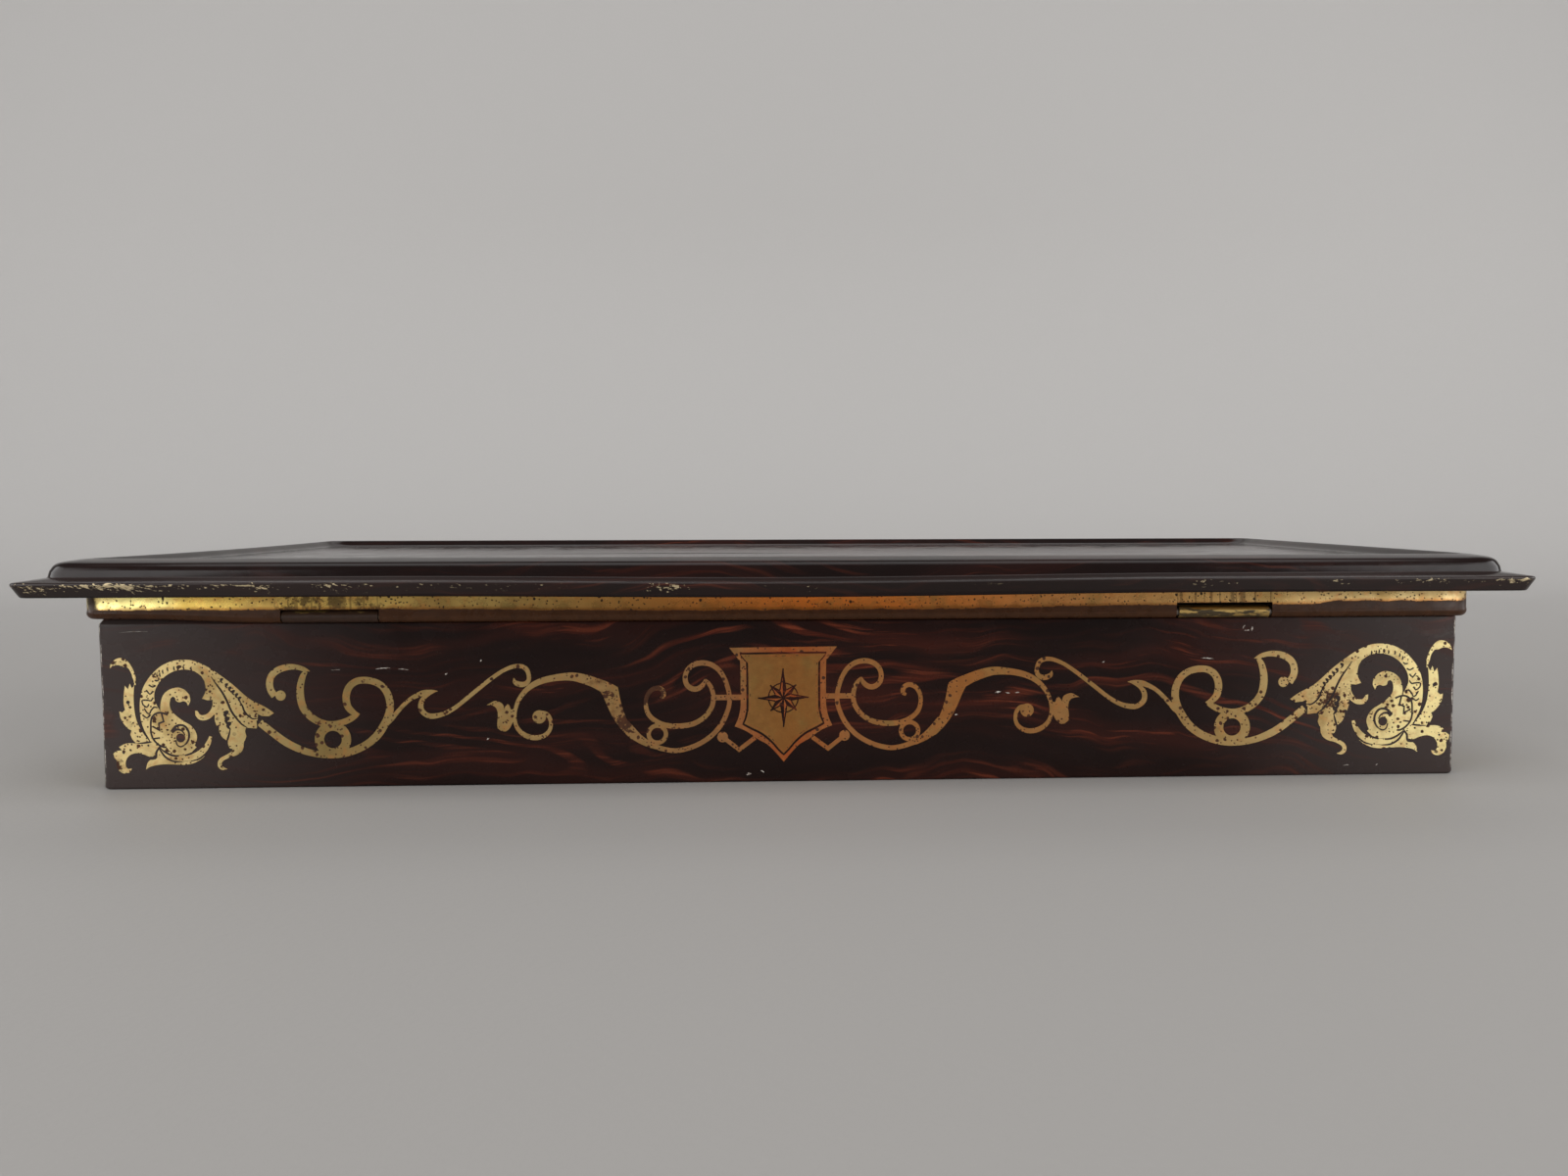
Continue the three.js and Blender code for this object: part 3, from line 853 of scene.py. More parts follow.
def gilt_colour(tree, place, along, tones):
    """Gold varnish, aged unevenly and cloudy, over a painted reflection whose tones are given by the mm along
    the wall.
    """
    first, last = min(tones), max(tones)
    share = add_node(tree, "MapRange", (along, first * mm, last * mm, 0.0, 1.0)).outputs[0]
    ramp = add_node(tree, "ValToRGB", (share,))
    stops = ramp.color_ramp.elements
    stops.remove(stops[0])
    for at, colour in tones.items():
        stop = stops[0] if at == first else stops.new((at - first) / (last - first))
        stop.position = (at - first) / (last - first)
        stop.color = (*colour, 1)
    clouds = grain(tree, place, 130, 4, 0.65)
    dulled = between(tree, clouds, 0.46, 0.70, 0.0, 0.7)
    flushed = between(tree, grain(tree, place, 620, 3, 0.6), 0.50, 0.68, 0.0, 0.35)
    gold = mixed(tree, dulled, ramp.outputs[0], gold_dull)
    return mixed(tree, flushed, gold, gold_flush)


def gilt_band(name):
    """Gold varnish on the flat of the skirt, with dark pits and a ragged foot, and brown lacquer on the bead.

    It is split into fine upright lines over both hinges, and blistered over the left one.
    """
    made, tree, shader = new_material(name, Specular_IOR_Level=0.18)
    place, along, up, _ = printed(tree)
    # Painted reflection: the band's gold changes its tone along the wall.
    gold = gilt_colour(tree, place, along, band_sheen_tones)
    ragged = times(tree, minus(tree, grain(tree, place, 260, 4, 0.7), 0.5), 0.9 * mm)
    worn_foot = between(tree, along, 96 * mm, 101 * mm, 0.0, 0.5 * mm)
    low_foot = between(tree, unsigned(tree, along), 20 * mm, 70 * mm, -edge_sag, 0.0)
    worn_foot = plus(tree, worn_foot, low_foot)
    lacquer_line = minus(tree, plus(tree, up, ragged), worn_foot)
    on_bead = between(tree, lacquer_line, 32.55 * mm, 32.75 * mm, 1.0, 0.0)
    fading = between(tree, lacquer_line, 32.7 * mm, 33.4 * mm, 0.7, 0.0)
    pits = larger(tree, specks(tree, place, 1500, 0.26, 0.8), specks(tree, place, 420, 0.13, 0.9))
    lined = add_node(tree, "CombineXYZ", (plus(tree, along, times(tree, ragged, 0.4)), 0.0, 0.0)).outputs[0]
    split = add_node(tree, "TexVoronoi", {"Vector": lined, "Scale": 430}, feature="DISTANCE_TO_EDGE")
    splits = between(tree, split.outputs["Distance"], 0.02, 0.06, 0.5, 0.0)
    from_left, from_right = (unsigned(tree, minus(tree, along, x)) for x in hinge_x.values())
    hinges = smaller(tree, from_left, from_right)
    blistered = between(tree, grain(tree, place, 420, 3, 0.7), 0.45, 0.58, 0.0, 0.75)
    blistered = times(tree, blistered, between(tree, along, -70 * mm, -66 * mm, 1.0, 0.0))
    cracked = larger(tree, splits, blistered)
    near_hinge = between(tree, hinges, hinge_length / 2, hinge_length / 2 + 1.5 * mm, 1.0, 0.0)
    pits = larger(tree, pits, times(tree, cracked, near_hinge))
    depth = add_node(tree, "SeparateXYZ", (add_node(tree, "TexCoord").outputs["Object"],)).outputs[1]
    lost = between(tree, plus(tree, along, times(tree, ragged, 4.0)), -124.2 * mm, -123.4 * mm, 1.0, 0.0)
    corner = between(tree, depth, -body_depth / 2 - 1.2 * mm, -body_depth / 2 - 0.6 * mm, 1.0, 0.0)
    pits = larger(tree, pits, times(tree, lost, corner))
    dark_brown, light_brown = ([part * share for part in bead_brown] for share in (0.6, 1.6))
    brown = mixed(tree, grain(tree, place, 500, 3), dark_brown, light_brown)
    colour = mixed(tree, fading, gold, foot_amber)
    colour = mixed(tree, pits, colour, pit_brown)
    colour = mixed(tree, on_bead, colour, brown)
    covered = larger(tree, on_bead, times(tree, pits, 0.8))
    tree.links.new(colour, shader.inputs["Base Color"])
    tree.links.new(minus(tree, 1.0, covered), shader.inputs["Metallic"])
    gloss = between(tree, grain(tree, place, 300, 4, 0.6), 0.3, 0.7, 0.22, 0.38)
    tree.links.new(gloss, shader.inputs["Roughness"])
    bump(tree, shader, minus(tree, grain(tree, place, 350, 3), covered), 0.02 * mm)
    return made


skirt_gilt = gilt_band("skirt_gilt")
skirt_face = [
    round_wire(bead_radius, bead_turn[0] + (bead_turn[1] - bead_turn[0]) * step / bead_steps)
    for step in range(bead_steps + 1)
]
skirt_top = [
    skirt_face[-1],
    (skirt_standoff, skirt_flange_height, radius_at(skirt_standoff)),
    (skirt_flange_edge, skirt_flange_height, edge_radius),
]
skirt_face += folded(skirt_top, {1: 0.35 * mm})[1:]


def knuckle_gaps():
    """One block for each gap that a knuckle takes out of the bead."""
    blocks = []
    for side, gap in knuckle_gap.items():
        half = hinge_length / 2 + gap
        low = (hinge_x[side] - half, -body_depth / 2 - skirt_standoff - mm, wall_height - mm)
        top = leaf_top + knuckle_gap_above[side]
        blocks.append(block("gap", low, (hinge_x[side] + half, -body_depth / 2 + 2 * bead_radius, top)))
    return blocks


skirts = {
    "back_right_skirt": ("lid_skirt_back_right", False),
    "front_left_skirt": ("lid_skirt_front_left", True),
}
for name, (node, turned) in skirts.items():
    skirt = formed(name, skirt_face, seam_plan(turned), [skirt_gilt, inside_tin])
    if not turned:
        cut(skirt, knuckle_gaps())
    move_points(skirt, old_skirt)
    lay_print(skirt, round_skirt)
    smooth(skirt)
    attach(skirt, "lid")
    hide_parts(node)

# Rim wire: one length of iron wire bent round inside the bead, its two ends meeting in the middle of the
# front. It is the hinge pin where it runs through the knuckles.
wire_sides = 20
wire_gap = 0.3 * mm
wire_iron = dull_tin("wire_iron", (0.30, 0.27, 0.24), rust_brown, (0.4, 0.6), 0.8)
wire_rings = [round_wire(wire_radius, 360 * side / wire_sides) for side in range(wire_sides)]
wire_runs = [whole_plan(offset, radius) for offset, _, radius in wire_rings]
# Each run along the wire is turned to start at the middle of the front, where the two ends leave a gap.
wire_start = next(i for i, p in enumerate(wire_runs[0]) if p.y > 0 and p.x <= 0)
wire_runs = [run[wire_start:] + run[:wire_start] for run in wire_runs]
for run in wire_runs:
    run.insert(0, Vector((-wire_gap / 2, run[0].y)))
    if abs(run[1].x) < wire_gap:
        run.pop(1)
    run.append(Vector((wire_gap / 2, run[0].y)))
ring_count = len(wire_runs[0])
wire_places = [(*run[i], wire_rings[k][1]) for i in range(ring_count) for k, run in enumerate(wire_runs)]
wire_faces = []
for i in range(ring_count - 1):
    for k in range(wire_sides):
        beside = (k + 1) % wire_sides
        here = i * wire_sides
        wire_faces.append((here + k, here + wire_sides + k, here + wire_sides + beside, here + beside))
wire_faces.append(tuple(range(wire_sides)))
wire_faces.append(tuple((ring_count - 1) * wire_sides + k for k in range(wire_sides))[::-1])
wire = to_mesh("round_rim_wire", wire_places, wire_faces, [wire_iron])
move_points(wire, old_skirt)
smooth(wire)
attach(wire, "lid")
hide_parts("rim_wire")

# Gilt print: gold ink on each wall, a thin body a little proud of it. Scrolls, leaves and a dolphin make
# one half and are mirrored, and a shield stands between the halves on the long walls. Points are (out from
# the middle, up) in mm, with the width of a line as a third number.
ink_proud, ink_sunk, ink_steps = 0.045 * mm, -0.02 * mm, 3
curve_chords, disc_chords, least_step, sharpest_mitre = 40, 24, 0.01, 0.4
least_area, merge_within, least_out = 1e-5, 2e-4, 0.001
shield_edge = [
    [(0, 25.05), (9.95, 25.05)],
    [(9.95, 25.05), (8.3, 22.9), (7.95, 22.1), (7.9, 16), (7.95, 14), (8.35, 12), (9.05, 10.35)],
    [(9.05, 10.35), (7.3, 9.65), (5.8, 8.7), (4.6, 7.8), (3.0, 6.9), (1.5, 5.4), (0, 3.6)],
]
shield_line = [
    [(0, 23.95), (8.0, 23.9)],
    [(8.0, 23.9), (6.9, 22.6), (6.65, 22), (6.65, 14), (6.75, 13), (7.0, 11.8), (7.45, 10.75)],
    [(7.45, 10.75), (6.0, 9.95), (4, 8.9), (2.2, 7.4), (0.9, 5.9), (0, 5.0)],
]
shield_line_width, field_inset = 0.42, 0.2
pale_line_width, pale_line_inset = 0.13, 0.32
shield_middle = Vector((0, 16))
middle_strokes = {
    "bar": [(7.9, 15.8, 1.0), (13.0, 15.8, 1.0)],
    "outer_c": [
        (14.5, 19.3, 0.15), (14.75, 18.4, 0.8), (15.6, 17.6, 0.95), (16.7, 17.45, 1.0),
        (17.8, 18.2, 0.95), (18.15, 19.6, 0.9), (17.7, 21.0, 0.9), (16.6, 21.95, 0.95), (15.1, 22.3, 1.0),
        (13.4, 22.0, 0.95), (11.9, 20.95, 0.9), (10.85, 19.3, 0.85), (10.25, 17.5, 0.85),
        (9.95, 15.9, 0.85), (10.05, 14.4, 0.85), (10.45, 13.0, 0.85), (11.2, 11.3, 0.9),
        (12.3, 9.75, 0.9), (13.7, 8.4, 0.9), (15.5, 7.25, 0.9), (17.6, 6.4, 0.9), (20.0, 5.95, 0.9),
        (22.3, 6.3, 0.9), (24.2, 6.95, 1.0), (24.8, 7.15, 1.1), (26.6, 8.2, 1.5), (28.2, 9.6, 1.9),
        (29.3, 11.2, 1.6),
    ],
    "inner_c": [
        (14.35, 19.3, 0.1), (13.9, 18.6, 0.7), (13.3, 17.6, 0.8), (12.95, 16.0, 0.85), (13.2, 14.2, 0.9),
        (14.5, 12.3, 0.9), (16.7, 10.95, 0.95), (19.5, 10.55, 1.0), (22, 10.8, 0.95), (24, 11.8, 0.9),
        (25.2, 13.3, 0.85), (25.45, 15.4, 0.75), (24.7, 17.1, 0.85), (23.4, 17.75, 0.9),
        (22.35, 17.3, 0.9), (22.15, 16.3, 0.8), (22.75, 15.85, 0.5),
    ],
    "bracket": [(10.9, 8.1, 0.8), (8.25, 6.0, 0.8), (5.3, 8.2, 0.8)],
    "arm": [
        (39.6, 20.05, 1.4), (40.6, 20.05, 1.35), (42.5, 19.85, 1.2), (44.5, 19.4, 1.15),
        (46.3, 18.6, 1.05), (47.8, 17.4, 0.9), (48.9, 15.9, 0.8), (49.55, 14.2, 0.7), (49.75, 12.5, 0.7),
        (49.45, 11.0, 0.75), (48.6, 9.8, 0.85), (47.3, 9.0, 0.95), (45.8, 8.75, 0.95), (44.4, 9.1, 0.85),
        (43.4, 10.0, 0.75), (43.05, 11.2, 0.7), (43.25, 12.4, 0.75), (43.9, 13.2, 0.8), (44.8, 13.4, 0.8),
    ],
    "long_s": [
        (49.75, 19.95, 0.15), (49.55, 19.2, 0.8), (48.6, 18.75, 1.0), (47.6, 18.9, 0.9),
        (47.0, 19.6, 0.8), (47.05, 20.8, 0.8), (47.6, 21.8, 0.85), (48.8, 22.2, 0.8), (50.2, 22.0, 0.75),
        (52, 21.2, 0.7), (54, 19.85, 0.75), (56, 18.3, 0.75), (58, 16.7, 0.75), (60, 15.1, 0.75),
        (61.5, 14.1, 0.8), (63, 13.4, 0.85), (64.8, 13.05, 1.0), (66, 13.3, 0.95), (66.9, 14.2, 1.0),
        (67.0, 15.4, 0.95), (66.5, 16.4, 0.85), (65.7, 17.1, 0.7), (64.6, 17.6, 0.4), (63.9, 17.7, 0.05),
    ],
    "short_s": [
        (63.85, 17.7, 0.1), (65, 17.7, 0.6), (66.4, 17.45, 1.0), (67.6, 17.0, 0.9), (69, 16.25, 0.75),
        (70.3, 15.1, 0.75), (71.5, 13.8, 0.8), (72.6, 12.5, 0.9), (73.6, 11.6, 0.8),
    ],
}
middle_discs = [(11.3, 8.4, 1.0), (45.2, 12.65, 1.25)]
middle_rings = [(23.4, 9.1, 2.0, 1.2)]
elbow = [
    [(27.0, 9.2), (28.6, 11.2), (29.5, 13.2), (30.1, 15.3), (30.4, 17.0), (30.6, 18.0)],
    [(30.6, 18.0), (32, 18.8), (34, 19.6), (36, 20.3), (38, 20.75), (39.5, 20.85), (41.2, 20.65)],
    [(41.1, 19.4), (39, 19.3), (37.2, 18.8), (35.3, 18.05), (33.8, 17.2)],
    [(33.8, 17.2), (33.2, 16), (32.5, 14.3), (31.5, 12.2), (30.2, 10.3), (28.7, 8.7), (28.2, 8.25)],
]
bud = [
    [(50.0, 14.2), (50.4, 14.1), (50.7, 14.9), (51.0, 15.1)],
    [(51.0, 15.1), (51.4, 14.7), (51.7, 14.2)],
    [(51.7, 14.2), (51.8, 14.9), (52.3, 15.45), (53.4, 15.75), (54.3, 15.3), (54.9, 15.0)],
    [(54.9, 15.0), (54.0, 14.9), (53.3, 14.6), (52.9, 13.8), (52.85, 12.8), (53.0, 11.5), (52.9, 10.6)],
    [(52.2, 10.05), (51.4, 10.05), (50.7, 10.6), (50.2, 11.5), (49.9, 12.2), (49.6, 13)],
]
end_strokes = {
    "big_scroll": [
        (78.35, 13.65, 0.1), (79.4, 13.9, 1.0), (80.4, 14.9, 1.3), (80.75, 16.2, 1.35),
        (80.65, 17.6, 1.35), (80.0, 18.9, 1.3), (78.8, 19.75, 1.25), (77.2, 19.95, 1.25),
        (75.3, 19.55, 1.25), (73.8, 18.5, 1.3), (72.9, 16.8, 1.35), (72.7, 14.9, 1.4), (73.1, 13.1, 1.45),
        (74, 11.3, 1.5), (75.3, 9.5, 1.5), (77.2, 7.95, 1.4), (79.5, 6.85, 1.4), (82, 6.2, 1.35),
        (84.5, 6.1, 1.3), (87, 6.4, 1.2), (89.5, 7.2, 1.3), (92, 8.5, 1.4), (94.5, 10.4, 1.35),
        (96.8, 12.3, 1.35),
    ],
    "lower": [
        (78.35, 13.65, 0.1), (79.3, 13.2, 1.0), (81, 12.3, 1.15), (83.3, 11.8, 1.15), (85.5, 12.15, 1.25),
        (87.4, 13.3, 1.35), (88.7, 15, 1.4), (89.15, 17, 1.4), (89.1, 19, 1.3), (88.6, 20.8, 1.1),
        (88.0, 21.7, 0.7),
    ],
    "hook": [
        (87.3, 21.75, 0.1), (88.3, 22.1, 0.8), (89.5, 22.5, 0.9), (91, 22.6, 1.1), (92.8, 22.2, 1.2),
        (94.2, 21.2, 1.25), (94.75, 19.8, 1.3), (94.6, 18.4, 1.3), (93.9, 17.2, 1.3),
    ],
    "jaw": [
        (105.95, 9.85, 0.5), (106.4, 8.6, 0.85), (107.4, 7.2, 1.1), (108.9, 6.2, 1.2), (110.8, 5.85, 1.1),
        (112.8, 6.0, 1.1), (114.4, 6.8, 1.2), (115.3, 7.9, 0.9),
    ],
    "curl_stem": [(119.5, 19.6, 0.2), (119.55, 20.4, 0.35), (119.7, 21.2, 0.6)],
}
end_discs = [(92.8, 17.3, 0.95)]
end_rings = [(83.4, 8.95, 3.35, 1.63)]
tail_and_back = [
    [
        (94.1, 14.05), (95.7, 15.2), (98.2, 16.5), (99.8, 17.8), (101.6, 19.5), (103.5, 21.0),
        (105.3, 22.3), (106.9, 23.25), (108.9, 24.05), (110.8, 24.2), (112.6, 23.95), (114.4, 23.2),
        (116.0, 21.95), (117.3, 20.4), (118.15, 18.9), (118.6, 17.4), (118.8, 15.8), (118.8, 14.3),
        (118.6, 12.7), (118.1, 11.1), (117.2, 9.35),
    ],
    [(116.4, 8.9), (115.0, 9.5), (115.05, 14.6)],
    [
        (115.6, 15.65), (116.05, 16.8), (116.0, 18.1), (115.45, 19.45), (114.4, 20.75), (113.0, 21.75),
        (111.4, 22.3), (109.8, 22.35), (108.4, 21.95), (107.25, 21.1),
    ],
    [(106.75, 20.2), (106.55, 19.1), (106.65, 18.1), (107.0, 17.4), (107.3, 16.9)],
    [(106.3, 16.6), (105.35, 16.7)],
    [(105.4, 15.6), (105.9, 14.6), (106.8, 13.9), (107.7, 13.9), (108.2, 14.6), (108.65, 14.7)],
    [(108.6, 13.8), (108.0, 13.05), (107.0, 12.85), (106.0, 13.2), (105.05, 14.0)],
    [(105.1, 12.9), (104.8, 11.8)],
    [(104.3, 12.0)],
    [(104.35, 10.9), (103.9, 9.8), (103.1, 9.1)],
    [(102.75, 9.4)],
    [(102.8, 8.4), (102.5, 7.6), (101.95, 7.5)],
    [
        (102.3, 6.85), (103.2, 6.35), (104.25, 5.8), (104.8, 4.95), (104.7, 4.05), (103.95, 3.5),
        (103.0, 3.7),
    ],
    [(103.7, 4.0), (104.1, 4.6), (103.75, 5.25), (102.5, 5.9), (101.4, 6.2), (100.4, 6.85), (99.95, 7.7)],
    [(99.85, 8.8), (99.7, 8.9)],
    [(99.35, 9.8), (99.55, 10.7), (99.4, 11.3)],
    [(98.8, 11.35), (97.9, 11.25), (97.35, 11.2)],
    [(97.2, 12.6), (97.1, 13.9)],
    [(96.4, 13.55), (95.1, 13.45)],
]
head = [
    [(115.05, 14.5), (114.95, 16.1), (114.4, 17.7), (113.2, 18.7), (111.6, 19.05), (110.4, 18.6)],
    [(109.6, 17.7), (109.45, 16.6), (109.9, 15.6)],
    [(110.15, 16.25), (110.7, 16.5), (111.45, 16.3), (112.05, 16.55), (112.25, 17.15), (112.7, 17.4)],
    [
        (113.1, 17.0), (113.3, 15.9), (113.0, 14.75), (112.0, 13.65), (110.8, 12.75), (109.6, 12.0),
        (108.75, 10.9), (108.45, 9.7), (108.85, 8.4), (109.3, 7.55),
    ],
    [(111, 7.1), (113.5, 7.4), (114.9, 8.35)],
    [(116.3, 8.6), (117.2, 9.2)],
    [(116.5, 11.5), (116.3, 13.5)],
]
lower_lip = [
    [
        (107.1, 6.25), (108.0, 5.5), (109.35, 4.85), (110.95, 4.6), (113, 4.7), (114.8, 4.75),
        (116.4, 4.55), (117.3, 4.3), (118.1, 3.8),
    ],
    [(117.85, 4.9), (117.3, 5.55), (116.2, 6.1)],
    [(115.9, 6.9), (115.4, 7.9)],
    [(114.6, 6.4), (113.2, 5.55), (111.4, 5.2), (109.4, 5.4)],
]
crest_leaf = [
    [
        (117.3, 9.1), (118.25, 10.4), (119.05, 11.8), (119.6, 13.4), (119.85, 15.2), (119.9, 17.0),
        (119.8, 18.6), (119.65, 19.8),
    ],
    [(120.1, 19.0), (120.5, 19.9)],
    [(120.85, 18.8), (121.4, 19.5)],
    [(121.65, 17.9), (121.75, 16.3), (121.55, 15.0)],
    [(122.1, 14.5), (122.6, 14.75)],
    [(122.5, 13.7), (122.0, 12.6), (121.2, 11.6), (120.5, 11.15)],
    [(120.75, 10.4)],
    [(120.4, 9.5), (119.8, 8.75)],
]
front_leaf = [
    [(117.3, 8.75), (118.6, 8.6), (120.3, 8.75), (121.7, 8.7), (122.9, 8.1)],
    [(122.4, 7.45)],
    [(123.3, 7.4), (124.0, 6.9)],
    [(123.85, 6.1), (123.4, 5.6)],
    [(123.5, 4.6), (123.0, 3.6), (122.0, 3.1), (121.0, 3.4), (120.7, 4.05)],
    [
        (121.4, 3.95), (121.8, 4.6), (121.7, 5.6), (121.0, 6.5), (119.8, 6.9), (118.4, 6.65),
        (117.3, 6.2), (116.3, 6.35),
    ],
    [(115.9, 7.3), (115.5, 8.2)],
    [(116.4, 9.0)],
]
top_curl = [
    [
        (119.3, 20.9), (119.75, 22.4), (120.5, 23.8), (121.6, 24.65), (122.9, 24.45), (123.8, 23.6),
        (124.0, 22.8),
    ],
    [
        (124.0, 22.8), (123.4, 23.2), (122.4, 23.35), (121.5, 22.95), (120.8, 22.9), (120.2, 22.0),
        (119.9, 20.9),
    ],
]
mouth = [
    (108.6, 7.9), (109.6, 6.9), (111, 6.45), (113, 6.5), (114.6, 7.2), (115.3, 7.95), (115, 8.6),
    (112, 8.2), (109.5, 8.5),
]
engraved = [
    [
        (113.7, 13.95, 0.26), (114.4, 14.25, 0.26), (115.25, 14.4, 0.26), (116.05, 14.15, 0.26),
        (116.6, 13.6, 0.26), (116.85, 12.85, 0.26), (116.9, 11.85, 0.26), (116.9, 10.65, 0.26),
        (116.55, 9.5, 0.26), (115.7, 8.5, 0.26), (114.8, 8.0, 0.26), (114.15, 7.95, 0.26),
    ],
    [
        (110.95, 8.2, 0.15), (110.35, 8.75, 0.25), (109.95, 9.65, 0.3), (109.95, 10.65, 0.3),
        (110.45, 11.65, 0.3), (111.35, 12.05, 0.3), (112.35, 11.75, 0.35), (113.1, 10.75, 0.45),
    ],
    [
        (113.1, 10.75, 0.5), (112.35, 11.2, 0.35), (111.55, 11.15, 0.25), (111.0, 10.75, 0.2),
        (110.65, 10.1, 0.15),
    ],
    [(110.95, 8.2, 0.2), (111.55, 8.0, 0.2), (112.15, 8.35, 0.2), (112.4, 9.25, 0.2)],
    [(108.5, 7.75, 0.15), (109.4, 6.8, 0.25), (110.8, 6.35, 0.2)],
    [(111.9, 6.25, 0.2), (113.2, 6.4, 0.28), (114.55, 7.1, 0.25), (115.35, 7.85, 0.12)],
    [(106.95, 6.6, 0.15), (108.15, 5.7, 0.22), (109.75, 5.25, 0.12)],
    [(111.35, 5.2, 0.12), (113, 5.3, 0.25), (114.4, 6.1, 0.28), (115.2, 7.2, 0.25), (115.55, 7.8, 0.2)],
    [(115.55, 7.8, 0.25), (116.05, 7.05, 0.3), (116.3, 5.9, 0.3), (118.15, 5.8, 0.15)],
    [
        (105.5, 21.0, 0.1), (104.6, 19.6, 0.2), (103.6, 18.15, 0.28), (102.75, 16.45, 0.3),
        (102.0, 14.55, 0.3), (101.0, 13.05, 0.28), (100.1, 12.0, 0.22), (99.1, 11.35, 0.12),
    ],
    [
        (100.45, 16.4, 0.12), (99.9, 15.45, 0.24), (99.6, 14.5, 0.26), (99.0, 13.7, 0.24),
        (98.1, 13.05, 0.2), (97.15, 13.1, 0.1),
    ],
    [(102.3, 11.1, 0.12), (102.55, 10.15, 0.26), (102.9, 9.1, 0.24), (103.1, 8.7, 0.1)],
    [(97.3, 12.7, 0.15), (97.2, 11.35, 0.2)],
    [(115.3, 9.7, 0.22), (116.5, 9.55, 0.22)],
]
scales = [
    [(115.0, 20.65), (115.4, 20.35), (115.9, 20.45)], [(115.7, 19.5), (116.3, 19.2), (117.0, 19.6)],
    [(116.25, 18.45), (116.85, 17.85), (117.45, 18.6)],
    [(116.25, 17.25), (116.7, 16.65), (117.25, 16.75), (118.25, 16.8)],
    [(117.1, 16.05), (117.5, 15.45), (118.25, 16.0), (118.35, 16.8)],
    [(116.1, 15.55), (116.75, 14.85), (117.05, 14.25), (117.55, 14.45), (118.0, 15.25)],
    [(115.55, 15.3), (116.0, 15.45), (116.5, 15.25)], [(116.85, 14.05), (117.55, 13.45), (118.15, 13.85)],
]
zigzag = [(114.85, 14.3), (114.5, 12.75), (115.4, 12.4), (115.35, 11.15), (116.65, 11.9)]
scale_line, zigzag_line, engraved_wider = 0.29, 0.34, 1.4
holes = [(111.48, 9.64, 0.85), (120.95, 16.4, 0.35), (117.5, 8.3, 0.2), (122.1, 6.95, 0.2)]
comma = [(0.30, 0.22, 0.1), (-0.22, 0.32, 0.3), (0.10, -0.08, 0.3), (-0.25, -0.53, 0.1)]
tick = [(0.0, -0.35, 0.25), (0.12, 0.05, 0.32), (0.05, 0.4, 0.15)]
commas = [
    (103.64, 20.24, 1), (102.75, 19.28, 1), (102.15, 18.65, 1), (101.55, 18.0, 1), (100.95, 17.4, 1),
    (100.45, 16.75, 1), (103.04, 13.94, 1.5), (102.87, 12.79, 1.5), (102.59, 11.84, 1.5),
]
back_ticks = [
    (109.0, 22.5), (110.4, 22.75), (111.35, 22.8), (112.15, 22.6), (113.35, 22.45), (114.25, 22.0),
    (114.8, 21.45),
]


def stroked(points, steps=ink_steps, curved=True):
    """The quads of a line of ink of changing width, smooth or straight, through (along, up, width)."""
    run = smooth_run(points, steps) if curved and len(points) > 2 else [Vector(p) for p in points]
    flat, last = [p.to_2d() for p in run], len(run) - 1
    rails = []
    for i, p in enumerate(flat):
        flow = flat[min(i + 1, last)] - flat[max(i - 1, 0)]
        mitred = not curved and 0 < i < last
        if mitred:
            flow = (flat[i + 1] - p).normalized() + (p - flat[i - 1]).normalized()
        half = flow.orthogonal().normalized() * run[i].z / 2
        if mitred:
            half /= max(flow.length / 2, sharpest_mitre)
        rails.append((p - half, p + half))
    return [(a, c, d, b) for (a, b), (c, d) in zip(rails, rails[1:])]


def drawn(paint, points, steps=ink_steps, curved=True):
    """A line of ink in one paint."""
    return [(paint, quad) for quad in stroked(points, steps, curved)]


def disc(along, up, radius, chords=disc_chords):
    turns = [2 * math.pi * i / chords for i in range(chords)]
    return [Vector((along + radius * math.cos(t), up + radius * math.sin(t))) for t in turns]


def ring(along, up, outer, inner):
    outside, inside = disc(along, up, outer, curve_chords), disc(along, up, inner, curve_chords)
    return [(inside[i - 1], outside[i - 1], outside[i], inside[i]) for i in range(curve_chords)]


def outlined(runs, steps=ink_steps):
    """A filled outline, smooth along each run and sharp where one run meets the next."""
    points = []
    for run in runs:
        smoothed = smooth_run(run, steps) if len(run) > 2 else [Vector(p) for p in run]
        points += [p for p in smoothed if not points or (p - points[-1]).length > least_step]
    return points[:-1] if (points[0] - points[-1]).length < least_step else points


def mirrored(shape):
    return [Vector((-p.x, p.y)) for p in shape]


def both_halves(shapes):
    return [(paint, way(shape)) for paint, shape in shapes for way in (list, mirrored)]


def whole_outline(runs):
    half = outlined(runs)
    return half + [Vector((-p.x, p.y)) for p in half[::-1] if p.x > least_out]


def shifted(shapes, by):
    return [(paint, [Vector((p.x + by, p.y)) for p in shape]) for paint, shape in shapes]


